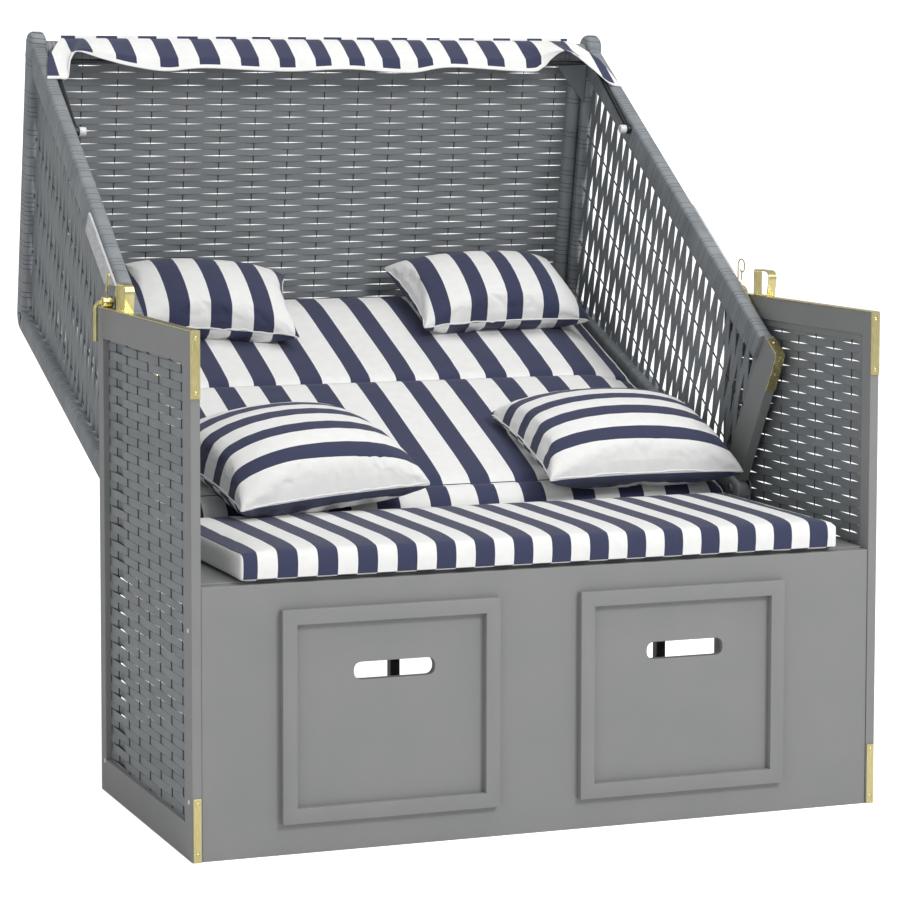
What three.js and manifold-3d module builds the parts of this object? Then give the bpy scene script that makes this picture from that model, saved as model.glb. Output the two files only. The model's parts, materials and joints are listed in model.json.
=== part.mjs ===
// Two-seat hooded beach chair: a painted box base with woven side walls, two pull-out footrests,
// a woven hood that reclines between the walls, a folding awning, cushions and pillows.
// Millimetres, +X to the right, +Y to the rear, +Z up. The origin is on the floor, under the middle
// of the front panel. The hood is drawn fully reclined, which is its rest position.
import * as THREE from 'three';
import { mergeVertices } from 'three/addons/utils/BufferGeometryUtils.js';
import Module from 'manifold-3d';

const wasm = await Module();
wasm.setup();

// Base
const overallWidth = 1180;
const wallDepth = 550;
const wallHeight = 820;
const wallThickness = 15.5;
const wallRailHeights = { top: 50, bottom: 56 };
const wallPostWidths = { front: 42, rear: 30 };
const wallRebate = { width: 12, depth: 4.4 };
const wallWeaveThickness = 3.6;
const fitGap = 0.3;
const cutOverrun = 4;

const frontPanel = { height: 427, thickness: 18, setBack: 1.5 };
const seatBoard = { rise: 3, thickness: 36 };
const rearBeam = { thickness: 18, drop: 35, legWidth: 15 };
const floorBeam = { thickness: 18, height: 100 };

// Footrests
const footrestSpacingShare = 0.872;
const footrestWidthShare = 0.63;
const footrestShift = -15.5;
const footrest = {
  faceBottom: 50, topMargin: 41, mouldingWidth: 24, mouldingDepth: 12,
  openingInset: 6, openingGap: 2.5, boardThickness: 15, rearGap: 82,
  platformThickness: 14, platformDrop: 14, legWidth: 17, legThickness: 18,
  topBarHeight: 28, bottomBarHeight: 22, slotWidth: 135, slotHeight: 28, slotDrop: 104, slotShift: 7,
  runnerThickness: 48, runnerInset: 11,
};

// Brass fittings on the walls
const brassThickness = 1.8;
const stripFold = 105;
const footPlate = { height: 100, width: 13 };
const barrel = { radius: 9.5, length: 17.5, rearInset: 30, inset: 1.5, sink: 0.6 };
const lockPin = { radius: 4.25, clearance: 0.3, bendRadius: 11, drop: 65, reach: 1, sides: 8, bendSteps: 4 };
const lockClip = { wireRadius: 1.2, ringRadius: 11.5, legAbove: 30, tailLength: 24, sides: 5, ringSteps: 16 };
const strapLoop = { length: 62, height: 46, setForward: 88, bendRadius: 20 };

// Hood, by the lines of its side frame in the Y-Z plane; angles are from +Y towards +Z
const degree = Math.PI / 180;
const hoodSideClearance = 6.5;
const hoodHeelPlace = { wallGap: 120, rise: 15 };
const hoodBackLength = 862;
const hoodBackRise = 20.2 * degree;
const hoodRoofAngle = 100.4 * degree;
const hoodFrontAngle = 33.7 * degree;
const hoodFrontEnd = { ahead: 89, rise: 312 };
const hoodRail = { thickness: 26, front: 52, roof: 46, back: 40, bevel: 7, cornerRadius: 34 };
const hoodWrap = { extra: 3.3, inner: 2, start: 160, domeRise: 5 };
const hoodPivot = { alongBack: 30, boltRadius: 6, headRadius: 10, headHeight: 4.4, clearance: 0.3 };
const pivotPlate = { thickness: 3, height: 40 };
const cheek = { thickness: 18, noseLength: 55, cornerRadius: 8 };
const cheekEdgeAngle = 120.6 * degree;
const cheekStrap = { upper: 44, lower: 76, thickness: 2 };
const weaveThickness = 4;
// Openings between the strands, coarser than the real ones: a grid in which each second line is shifted
const wallOpenings = { columns: 7, rows: 12, lengthShare: 0.84, heightShare: 0.52 };
const sideOpenings = {
  columns: 12, rows: 5, lean: 108 * degree, firstBelowShare: 0.13, lengthShare: 0.8, heightShare: 0.4,
  marginShare: 0.1,
};
const backWeaveRise = 8;
const roofRollRadius = 14;
const topRailRadius = 19;
const cornerRailRadius = 14;
const cornerRailInset = 16;
const lowerSlat = { start: 12, width: 30 };
const gusset = { width: 62, height: 74, thickness: 10 };
const sideSlat = { width: 40, thickness: 4.6, start: 250, end: 401, edgeInset: 6, lowerLead: 58 };
const slatStrap = { width: 18, start: 84, end: 196, thickness: 3 };

// Awning
const bow = { radius: 4.2, cornerRadius: 16, eyeRadius: 9, sides: 8, cornerSteps: 4 };
const bowPivot = { behindBar: 206, below: 15 };
const bowBar = { crownGap: 94.8, below: 1 };
const knob = { radius: 8, length: 13, pinRadius: 3.2, clearance: 0.3, pinSeat: 6 };
const awning = {
  thickness: 2.4, rest: 0.8, rearInset: 34, rearAhead: 81, rearRise: 2, barOver: 6, edgeInset: 5,
  frontAlong: 4.4, frontRise: 1.4, hemDrop: 86, hemRise: 25, hemLift: 21,
  columns: 64, railRows: 3, hemRows: 3,
};
// The hem from left to right, in shares: place across of half the hem, drop down the front rail from
// the bar, rise over the rail's outer line, and how far the cloth stands above the bar there
const awningHemShares = [
  { across: -1, drop: 0.721, rise: 0.072, lift: 0 },
  { across: -0.959, drop: 0.721, rise: 0.072, lift: 0 },
  { across: -0.931, drop: 0.698, rise: 0.088, lift: 0.19 },
  { across: -0.918, drop: 0.326, rise: 0.48, lift: 0.571 },
  { across: -0.888, drop: 0.035, rise: 0.88, lift: 0.857 },
  { across: -0.796, drop: 0.093, rise: 0.36, lift: 0.476 },
  { across: -0.698, drop: 0.163, rise: -0.12, lift: 0.095 },
  { across: -0.581, drop: 0.221, rise: -0.4, lift: 0 },
  { across: -0.449, drop: 0.186, rise: -0.2, lift: 0 },
  { across: -0.171, drop: 0.221, rise: -0.4, lift: 0 },
  { across: 0.05, drop: 0.198, rise: -0.24, lift: 0 },
  { across: 0.265, drop: 0.233, rise: -0.48, lift: 0 },
  { across: 0.423, drop: 0.163, rise: -0.12, lift: 0 },
  { across: 0.696, drop: 0.209, rise: -0.4, lift: 0 },
  { across: 0.755, drop: 0.163, rise: -0.16, lift: 0.19 },
  { across: 0.789, drop: 0.058, rise: 0.48, lift: 0.619 },
  { across: 0.828, drop: -0.012, rise: 1, lift: 1 },
  { across: 0.87, drop: 0.023, rise: 0.84, lift: 0.905 },
  { across: 0.927, drop: 0.349, rise: 0.2, lift: 0.286 },
  { across: 0.963, drop: 0.907, rise: 0.096, lift: 0 },
  { across: 1, drop: 1, rise: 0.072, lift: 0 },
];

// Cushions and pillows
const seatCushion = {
  sideGap: 57, heelGap: 25, thickness: 49, crown: 4, overhang: 3, sideDraw: 5, shift: 1.5,
};
const backCushion = {
  sideGap: 11, start: 2, endGap: 32, startThickness: 33, endThickness: 55, crown: 6,
  channelDepth: 9, channelWidth: 20, sideDraw: 5, edgeRound: 12,
};
const backCushionChannels = { first: 447, second: 56 };
const pillowShape = { sag: 46, drawInShare: 0.07, columns: 14, rows: 12 };
const lumbarLeft = {
  acrossShare: -0.509, behindHeel: 38, lift: 33, tilt: 14 * degree, spin: 12 * degree,
  widthShare: 0.716, depth: 334, bulge: 92,
};
const lumbarRight = {
  acrossShare: 0.627, behindHeel: 76, lift: 29, tilt: 16.5 * degree, spin: 0,
  widthShare: 0.716, depth: 320, bulge: 78,
};
const neckLeft = {
  acrossShare: -0.465, belowRear: 162, lift: 42, lean: 6 * degree, spin: -9 * degree,
  widthShare: 0.635, depth: 240, bulge: 58,
};
const neckRight = {
  acrossShare: 0.576, belowRear: 156, lift: 42, lean: 6.5 * degree, spin: 2 * degree,
  widthShare: 0.675, depth: 244, bulge: 60,
};

// Finishes
const finishes = {
  paintedWood: new THREE.MeshStandardMaterial({ color: 0x8f908f, roughness: 0.6, metalness: 0 }),
  wicker: new THREE.MeshStandardMaterial({ color: 0x6b7072, roughness: 0.55, metalness: 0 }),
  paleWood: new THREE.MeshStandardMaterial({ color: 0xc8cbcc, roughness: 0.6, metalness: 0 }),
  brass: new THREE.MeshStandardMaterial({ color: 0xd9b54a, roughness: 0.25, metalness: 1 }),
  steel: new THREE.MeshStandardMaterial({ color: 0xa9abad, roughness: 0.35, metalness: 1 }),
  blackSteel: new THREE.MeshStandardMaterial({ color: 0x141518, roughness: 0.45, metalness: 0.3 }),
  palePlastic: new THREE.MeshStandardMaterial({ color: 0xdcdcd8, roughness: 0.45, metalness: 0 }),
  fabric: new THREE.MeshStandardMaterial({ color: 0xf0f0ee, roughness: 0.9, metalness: 0 }),
  stripedFabric: new THREE.MeshStandardMaterial({ color: 0x424860, roughness: 0.9, metalness: 0 }),
};

// Sizes that follow from the ones above
const wallOuter = overallWidth / 2;
const wallInner = wallOuter - wallThickness;
const hoodOuter = wallInner - hoodSideClearance;
const hoodInner = hoodOuter - hoodRail.thickness;
const hoodMiddle = (hoodOuter + hoodInner) / 2;
const crossHalf = hoodInner - hoodWrap.inner - fitGap;
const seatBoardTop = frontPanel.height + seatBoard.rise;
const footrestFaceHeight = frontPanel.height - footrest.topMargin - footrest.faceBottom;
const footrestRear = wallDepth - floorBeam.thickness - footrest.rearGap;
const hoodHeel = { y: wallDepth - hoodHeelPlace.wallGap, z: seatBoardTop + hoodHeelPlace.rise };
const footrestSpacing = wallInner * footrestSpacingShare;
const footrestWidth = wallInner * footrestWidthShare;
const seatCushionWidth = (wallInner - seatCushion.sideGap) * 2;
const seatCushionDepth = hoodHeel.y - seatCushion.heelGap;
const backCushionWidth = (hoodInner - backCushion.sideGap) * 2;
const backCushionLength = hoodBackLength - backCushion.endGap - backCushion.start;
const panelBack = frontPanel.setBack + frontPanel.thickness;
const originY = frontPanel.setBack + frontPanel.thickness / 2;
const stripTop = wallHeight + fitGap + brassThickness;
const barrelCentre = { y: wallDepth - barrel.rearInset, z: stripTop + barrel.radius - barrel.sink };
const seatTop = seatBoardTop + fitGap + seatCushion.thickness;
const backCushionBase = backWeaveRise + weaveThickness / 2 + fitGap;

const group = new THREE.Group();
const part = new THREE.Group();
part.position.y = -originY;
group.add(part);

// Points in the Y-Z plane
const point = (y, z) => new THREE.Vector2(y, z);
const direction = (angle) => point(Math.cos(angle), Math.sin(angle));
const along = (start, angle, distance) => start.clone().addScaledVector(direction(angle), distance);
const quarterTurn = Math.PI / 2;

function meet(a, angleA, b, angleB) {
  const u = direction(angleA);
  const v = direction(angleB);
  const gap = b.clone().sub(a);
  return along(a, angleA, gap.cross(v) / u.cross(v));
}

// A Shape through the points, with each corner rounded by its radius
function roundedShape(points, radii, steps = 4) {
  const outline = [];
  points.forEach((corner, i) => {
    const before = points[(i + points.length - 1) % points.length];
    const after = points[(i + 1) % points.length];
    const radius = Array.isArray(radii) ? radii[i] : radii;
    const reach = Math.min(radius, corner.distanceTo(before) / 2, corner.distanceTo(after) / 2);
    const entry = corner.clone().lerp(before, reach / corner.distanceTo(before));
    const exit = corner.clone().lerp(after, reach / corner.distanceTo(after));
    const curve = new THREE.QuadraticBezierCurve(entry, corner, exit);
    outline.push(...(reach > 0 ? curve.getPoints(steps) : [corner]));
  });
  const isNew = (p, i) => p.distanceTo(outline[(i + outline.length - 1) % outline.length]) > fitGap / 10;
  return new THREE.Shape(outline.filter(isNew));
}

const rectangle = (x0, x1, y0, y1) => [point(x0, y0), point(x1, y0), point(x1, y1), point(x0, y1)];
const acrossX = new THREE.Matrix4().makeBasis(
  new THREE.Vector3(0, 1, 0), new THREE.Vector3(0, 0, 1), new THREE.Vector3(1, 0, 0));
const acrossY = new THREE.Matrix4().makeBasis(
  new THREE.Vector3(1, 0, 0), new THREE.Vector3(0, 0, 1), new THREE.Vector3(0, -1, 0));

// A Y-Z outline carried along X from x0 to x1, with its long edges rounded over by bevel
function prismX(shape, x0, x1, bevel = 0) {
  const geometry = new THREE.ExtrudeGeometry(shape, {
    depth: x1 - x0 - bevel * 2, curveSegments: 4, bevelEnabled: bevel > 0,
    bevelSize: bevel, bevelThickness: bevel, bevelOffset: -bevel, bevelSegments: 2,
  });
  return geometry.translate(0, 0, x0 + bevel).applyMatrix4(acrossX);
}

// An X-Z outline carried along Y from y0 to y1
function prismY(shape, y0, y1) {
  const options = { depth: y1 - y0, curveSegments: 5, bevelEnabled: false };
  const geometry = new THREE.ExtrudeGeometry(shape, options);
  return geometry.applyMatrix4(acrossY).translate(0, y1, 0);
}

function block(x0, x1, y0, y1, z0, z1) {
  const geometry = new THREE.BoxGeometry(x1 - x0, y1 - y0, z1 - z0);
  return geometry.translate((x0 + x1) / 2, (y0 + y1) / 2, (z0 + z1) / 2);
}

// A cylinder along X
function rodX(radius, x0, x1, y, z, sides = 16) {
  const geometry = new THREE.CylinderGeometry(radius, radius, x1 - x0, sides);
  return geometry.rotateZ(-quarterTurn).translate((x0 + x1) / 2, y, z);
}

function solidOf(geometry) {
  const plain = geometry.clone();
  plain.deleteAttribute('normal');
  plain.deleteAttribute('uv');
  const merged = mergeVertices(plain);
  return new wasm.Manifold(new wasm.Mesh({
    numProp: 3,
    vertProperties: Float32Array.from(merged.attributes.position.array),
    triVerts: Uint32Array.from(merged.index.array),
  }));
}

function geometryOf(solid) {
  const mesh = solid.getMesh();
  const geometry = new THREE.BufferGeometry();
  geometry.setAttribute('position', new THREE.BufferAttribute(mesh.vertProperties, 3));
  geometry.setIndex(new THREE.BufferAttribute(mesh.triVerts, 1));
  geometry.computeVertexNormals();
  return geometry;
}

const without = (body, tools) => tools.reduce((left, tool) => left.subtract(solidOf(tool)), body);
const cut = (body, ...tools) => geometryOf(without(solidOf(body), tools));
const join = (...bodies) => geometryOf(bodies.map(solidOf).reduce((all, b) => all.add(b)));

// A closed skin over rings of points, with a fan at each end
function loft(rings) {
  const count = rings[0].length;
  const positions = rings.flat().flatMap((p) => [p.x, p.y, p.z]);
  const indices = [];
  for (let r = 0; r + 1 < rings.length; r++) {
    for (let i = 0; i < count; i++) {
      const a = r * count + i;
      const b = r * count + (i + 1) % count;
      indices.push(a, b, b + count, a, b + count, a + count);
    }
  }
  [[0, -1], [rings.length - 1, 1]].forEach(([r, turn]) => {
    const centre = new THREE.Vector3();
    rings[r].forEach((p) => centre.addScaledVector(p, 1 / count));
    const hub = positions.length / 3;
    positions.push(centre.x, centre.y, centre.z);
    for (let i = 0; i < count; i++) {
      const a = r * count + i;
      const b = r * count + (i + 1) % count;
      indices.push(...(turn > 0 ? [a, b, hub] : [b, a, hub]));
    }
  });
  const geometry = new THREE.BufferGeometry();
  geometry.setAttribute('position', new THREE.Float32BufferAttribute(positions, 3));
  geometry.setIndex(indices);
  geometry.computeVertexNormals();
  return geometry;
}

// A round wire along a list of points
function wire(points, radius, sides) {
  const frames = points.map((p, i) => {
    const ahead = points[Math.min(i + 1, points.length - 1)].clone().sub(p).normalize();
    const behind = p.clone().sub(points[Math.max(i - 1, 0)]).normalize();
    return ahead.add(behind).normalize();
  });
  let normal = new THREE.Vector3(1, 0, 0).cross(frames[0]);
  if (normal.length() < 1 / 4) normal = new THREE.Vector3(0, 1, 0).cross(frames[0]);
  const rings = points.map((p, i) => {
    normal = normal.clone().projectOnPlane(frames[i]).normalize();
    const side = frames[i].clone().cross(normal);
    return Array.from({ length: sides }, (_, k) => {
      const turn = k / sides * Math.PI * 2;
      return p.clone().addScaledVector(normal, Math.cos(turn) * radius)
        .addScaledVector(side, Math.sin(turn) * radius);
    });
  });
  return loft(rings);
}

function mirrored(geometry) {
  const copy = geometry.index ? geometry.clone() : mergeVertices(geometry);
  copy.applyMatrix4(new THREE.Matrix4().makeScale(-1, 1, 1));
  const index = copy.index.array;
  for (let i = 0; i < index.length; i += 3) {
    [index[i], index[i + 1]] = [index[i + 1], index[i]];
  }
  copy.computeVertexNormals();
  return copy;
}

function add(name, geometry, material) {
  const mesh = new THREE.Mesh(geometry, material);
  mesh.name = name;
  part.add(mesh);
  return mesh;
}

// The same piece on both sides, drawn for the right
function addPair(name, geometry, material) {
  add(`${name}_right`, geometry, material);
  add(`${name}_left`, mirrored(geometry), material);
}

// Side walls: a painted frame with the woven panel in a rebate on its inner face
function addWalls() {
  const frame = roundedShape(rectangle(0, wallDepth, 0, wallHeight), 0);
  const window = [
    wallPostWidths.front, wallDepth - wallPostWidths.rear,
    wallRailHeights.bottom, wallHeight - wallRailHeights.top,
  ];
  const opened = [
    window[0] - wallRebate.width, window[1] + wallRebate.width,
    window[2] - wallRebate.width, window[3] + wallRebate.width,
  ];
  const body = prismX(frame, wallInner, wallOuter);
  const toolStart = wallInner - cutOverrun;
  const through = prismX(roundedShape(rectangle(...window), 0), toolStart, wallOuter + cutOverrun);
  const rebate = prismX(roundedShape(rectangle(...opened), 0), toolStart, wallInner + wallRebate.depth);
  addPair('wall_frame', cut(body, through, rebate), finishes.paintedWood);
  const panel = roundedShape(rectangle(
    opened[0] + fitGap, opened[1] - fitGap, opened[2] + fitGap, opened[3] - fitGap), 0);
  const { columns, rows, lengthShare, heightShare } = wallOpenings;
  const columnSpan = (window[1] - window[0]) / columns;
  const rowSpan = (window[3] - window[2]) / rows;
  for (let column = 0; column < columns; column++) {
    const shift = column % 2;
    for (let row = 0; row < rows - shift; row++) {
      const centre = point(window[0] + (column + 1 / 2) * columnSpan,
        window[2] + (row + (1 + shift) / 2) * rowSpan);
      panel.holes.push(lens(centre, 0, columnSpan * lengthShare / 2, rowSpan * heightShare / 2));
    }
  }
  const weaveFace = wallInner + wallRebate.depth - fitGap;
  addPair('wall_weave', prismX(panel, weaveFace - wallWeaveThickness, weaveFace), finishes.wicker);
}

// An opening between strands: four points around a centre, longest along the angle
function lens(centre, angle, halfLength, halfHeight) {
  return new THREE.Path([
    along(centre, angle, halfLength), along(centre, angle + quarterTurn, halfHeight),
    along(centre, angle, -halfLength), along(centre, angle + quarterTurn, -halfHeight),
  ]);
}

// Brass strip over each wall, folded down its front edge, with the lock barrel and the strap loop
function addWallFittings() {
  const stripBottom = wallHeight + fitGap;
  const strip = prismX(roundedShape([
    point(wallDepth, stripBottom), point(wallDepth, stripTop), point(-fitGap - brassThickness, stripTop),
    point(-fitGap - brassThickness, stripTop - stripFold), point(-fitGap, stripTop - stripFold),
    point(-fitGap, stripBottom),
  ], 0), wallInner, wallOuter);
  const barrelStart = wallInner - barrel.inset;
  const barrelEnd = barrelStart + barrel.length;
  const tube = rodX(barrel.radius, barrelStart, barrelEnd, barrelCentre.y, barrelCentre.z, 20);
  const bore = rodX(lockPin.radius + lockPin.clearance, barrelStart - cutOverrun, barrelEnd + cutOverrun,
    barrelCentre.y, barrelCentre.z);
  const holeHeight = barrel.radius * 2 + cutOverrun;
  const clipHole = new THREE.CylinderGeometry(
    lockClip.wireRadius + fitGap, lockClip.wireRadius + fitGap, holeHeight, 10)
    .rotateX(quarterTurn).translate(clipX(), clipLegY(), barrelCentre.z - barrel.radius / 2 + holeHeight / 2);
  const loopRear = barrelCentre.y - strapLoop.setForward;
  const loopFront = loopRear - strapLoop.length;
  const loopBottom = stripTop - barrel.sink;
  const loopTop = stripTop + strapLoop.height;
  const loopRadii = [brassThickness, brassThickness, strapLoop.bendRadius, strapLoop.bendRadius / 4];
  const loopShape = roundedShape([
    point(loopRear, loopBottom), point(loopFront + strapLoop.bendRadius / 2, loopBottom),
    point(loopFront, loopTop), point(loopRear, loopTop),
  ], loopRadii, 6);
  const loopHole = roundedShape([
    point(loopRear - brassThickness, loopBottom + brassThickness),
    point(loopFront + strapLoop.bendRadius / 2 + brassThickness, loopBottom + brassThickness),
    point(loopFront + brassThickness, loopTop - brassThickness),
    point(loopRear - brassThickness, loopTop - brassThickness),
  ], loopRadii.map((radius) => Math.max(radius - brassThickness, 0)), 6);
  const loop = cut(prismX(loopShape, wallInner, wallOuter),
    prismX(loopHole, wallInner - cutOverrun, wallOuter + cutOverrun));
  addPair('wall_fitting', cut(join(strip, tube, loop), bore, clipHole), finishes.brass);
  const plateMiddle = (wallInner + wallOuter) / 2;
  const plate = prismX(roundedShape(rectangle(-fitGap - brassThickness, -fitGap, 0, footPlate.height), 0),
    plateMiddle - footPlate.width / 2, plateMiddle + footPlate.width / 2);
  addPair('foot_plate', plate, finishes.brass);
}

function clipX() {
  return wallInner - barrel.inset + barrel.length * 5 / 8;
}

function clipLegY() {
  return barrelCentre.y - lockPin.radius - lockClip.wireRadius - fitGap * 3 / 2;
}

// Locking pin: a rod through the barrel, bent down outside the wall
function addLockPins() {
  const { y, z } = barrelCentre;
  const start = wallInner - barrel.inset;
  const bendStart = start + barrel.length + lockPin.reach;
  const points = [new THREE.Vector3(start, y, z)];
  for (let i = 0; i <= lockPin.bendSteps; i++) {
    const turn = i / lockPin.bendSteps * quarterTurn;
    points.push(new THREE.Vector3(bendStart + Math.sin(turn) * lockPin.bendRadius,
      y, z - (1 - Math.cos(turn)) * lockPin.bendRadius));
  }
  points.push(new THREE.Vector3(bendStart + lockPin.bendRadius, y, z - lockPin.drop));
  addPair('lock_pin', wire(points, lockPin.radius, lockPin.sides), finishes.brass);
}

// Spring clip: one leg down through the barrel beside the pin, a ring, and a tail outside the barrel
function addLockClips() {
  const legY = clipLegY();
  const ringZ = barrelCentre.z + barrel.radius + lockClip.legAbove;
  const stagger = lockClip.wireRadius + fitGap;
  const leg = new THREE.Vector3(clipX(), legY, barrelCentre.z - barrel.radius / 2 + lockClip.wireRadius * 2);
  const points = [leg];
  for (let i = 0; i <= lockClip.ringSteps; i++) {
    const share = i / lockClip.ringSteps;
    const turn = share * Math.PI * 7 / 4;
    points.push(new THREE.Vector3(clipX() + share * stagger * 2,
      legY - (1 - Math.cos(turn)) * lockClip.ringRadius, ringZ + Math.sin(turn) * lockClip.ringRadius));
  }
  const last = points[points.length - 1];
  const tailX = clipX() + stagger * 2;
  const tailBend = lockClip.tailLength / 4;
  points.push(new THREE.Vector3(tailX, legY - barrel.radius, last.z - tailBend));
  points.push(new THREE.Vector3(tailX, legY - tailBend, last.z - tailBend * 2));
  points.push(new THREE.Vector3(tailX, legY - barrel.radius, last.z - tailBend * 3));
  addPair('lock_clip', wire(points, lockClip.wireRadius, lockClip.sides), finishes.brass);
}

// Box front, seat board and the beams that tie the walls together at the rear
function addBox() {
  const half = wallInner - fitGap;
  const openings = footrestCentres().map((centre) => {
    const [low, , high] = footrestOpening(centre);
    return block(low.x, high.x, frontPanel.setBack - cutOverrun, panelBack + cutOverrun, low.y, high.y);
  });
  const front = block(-half, half, frontPanel.setBack, panelBack, 0, frontPanel.height);
  add('front_panel', cut(front, ...openings), finishes.paintedWood);
  const beamFront = wallDepth - rearBeam.thickness;
  add('seat_board', block(-half, half, panelBack + fitGap, beamFront - fitGap,
    seatBoardTop - seatBoard.thickness, seatBoardTop), finishes.paintedWood);
  const legInner = half - rearBeam.legWidth;
  const rearBeamBottom = seatBoardTop - rearBeam.drop;
  const legFoot = floorBeam.height + fitGap;
  const beamTop = hoodHeel.z + (beamFront - hoodHeel.y) * Math.tan(hoodBackRise) - fitGap;
  const beam = roundedShape([
    point(-legInner, rearBeamBottom), point(-legInner, legFoot), point(-half, legFoot),
    point(-half, beamTop), point(half, beamTop), point(half, legFoot), point(legInner, legFoot),
    point(legInner, rearBeamBottom),
  ], 0);
  add('rear_beam', prismY(beam, beamFront, wallDepth), finishes.paintedWood);
  add('floor_beam', block(-half, half, wallDepth - floorBeam.thickness, wallDepth, 0, floorBeam.height),
    finishes.paintedWood);
}

function footrestCentres() {
  return [-1, 1].map((side) => footrestShift + side * footrestSpacing / 2);
}

function footrestOpening(centre) {
  const half = footrestWidth / 2 - footrest.openingInset;
  const bottom = footrest.faceBottom + footrest.openingInset;
  const top = footrest.faceBottom + footrestFaceHeight - footrest.openingInset;
  return rectangle(centre - half, centre + half, bottom, top);
}

// Footrests: a framed front with a slot handle, a platform behind it and a rear leg frame
function addFootrests() {
  footrestCentres().forEach((centre, i) => {
    const name = ['left', 'right'][i];
    const [low, , high] = footrestOpening(centre);
    const gap = footrest.openingGap;
    const boardBack = frontPanel.setBack + footrest.boardThickness;
    const board = roundedShape(rectangle(low.x + gap, high.x - gap, low.y + gap, high.y - gap), 0);
    const slotHalf = footrest.slotWidth / 2;
    const slotRise = footrest.slotHeight / 2;
    const slotX = centre + footrest.slotShift;
    const slotZ = footrest.faceBottom + footrestFaceHeight - footrest.slotDrop;
    const slot = roundedShape(rectangle(slotX - slotHalf, slotX + slotHalf,
      slotZ - slotRise, slotZ + slotRise), slotRise, 6);
    board.holes.push(slot);
    add(`footrest_front_${name}`, prismY(board, frontPanel.setBack, boardBack), finishes.paintedWood);

    const faceHalf = footrestWidth / 2;
    const faceTop = footrest.faceBottom + footrestFaceHeight;
    const face = rectangle(centre - faceHalf, centre + faceHalf, footrest.faceBottom, faceTop);
    const moulding = roundedShape(face, 0);
    const edge = footrest.mouldingWidth;
    moulding.holes.push(new THREE.Path(rectangle(centre - faceHalf + edge, centre + faceHalf - edge,
      footrest.faceBottom + edge, faceTop - edge)));
    const mouldingBack = frontPanel.setBack - fitGap;
    add(`footrest_moulding_${name}`, prismY(moulding, mouldingBack - footrest.mouldingDepth, mouldingBack),
      finishes.paintedWood);

    const platformTop = high.y - footrest.platformDrop;
    const platformBottom = platformTop - footrest.platformThickness;
    add(`footrest_platform_${name}`, block(low.x + gap, high.x - gap, boardBack + fitGap,
      footrestRear, platformBottom, platformTop), finishes.paintedWood);

    const frameTop = platformBottom - fitGap;
    const frameBottom = low.y + gap;
    const rearFrame = roundedShape(rectangle(low.x + gap, high.x - gap, frameBottom, frameTop), 0);
    const legInset = gap + footrest.legWidth;
    rearFrame.holes.push(new THREE.Path(rectangle(low.x + legInset, high.x - legInset,
      frameBottom + footrest.bottomBarHeight, frameTop - footrest.topBarHeight)));
    add(`footrest_legs_${name}`, prismY(rearFrame, footrestRear - footrest.legThickness, footrestRear),
      finishes.paintedWood);

    const runnerTop = frameBottom - fitGap;
    const runnerHalf = footrestWidth / 2 - footrest.runnerInset;
    const runnerRear = wallDepth - floorBeam.thickness - fitGap;
    const runner = block(centre - runnerHalf, centre + runnerHalf, panelBack + fitGap, runnerRear,
      runnerTop - footrest.runnerThickness, runnerTop);
    add(`footrest_runner_${name}`, runner, finishes.paintedWood);
  });
}

// Corner points of the hood's side frame; inner lines are the outer ones moved in by the rail widths
function hoodPoints() {
  const heel = point(hoodHeel.y, hoodHeel.z);
  const nose = point(hoodHeel.y - hoodFrontEnd.ahead, hoodHeel.z + hoodFrontEnd.rise);
  const rear = along(heel, hoodBackRise, hoodBackLength);
  const crown = meet(rear, hoodRoofAngle, nose, hoodFrontAngle);
  const heelIn = along(heel, hoodBackRise + quarterTurn, hoodRail.back);
  const noseIn = along(nose, hoodFrontAngle - quarterTurn, hoodRail.front);
  const rearSide = along(rear, hoodRoofAngle + quarterTurn, hoodRail.roof);
  const rearIn = meet(heelIn, hoodBackRise, rearSide, hoodRoofAngle);
  const crownIn = meet(noseIn, hoodFrontAngle, rearSide, hoodRoofAngle);
  return { heel, nose, rear, crown, heelIn, noseIn, rearIn, crownIn };
}

const hood = hoodPoints();
const pivot = along(along(hood.heel, hoodBackRise, hoodPivot.alongBack),
  hoodBackRise + quarterTurn, hoodRail.back / 2);
const onBack = (distance, rise) => along(along(hood.heel, hoodBackRise, distance),
  hoodBackRise + quarterTurn, rise);
const onFront = (distance, rise) => along(along(hood.nose, hoodFrontAngle, distance),
  hoodFrontAngle + quarterTurn, rise);
const barAlong = hood.nose.distanceTo(hood.crown) - bowBar.crownGap;
const bowPivotAlong = barAlong - bowPivot.behindBar;

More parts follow.
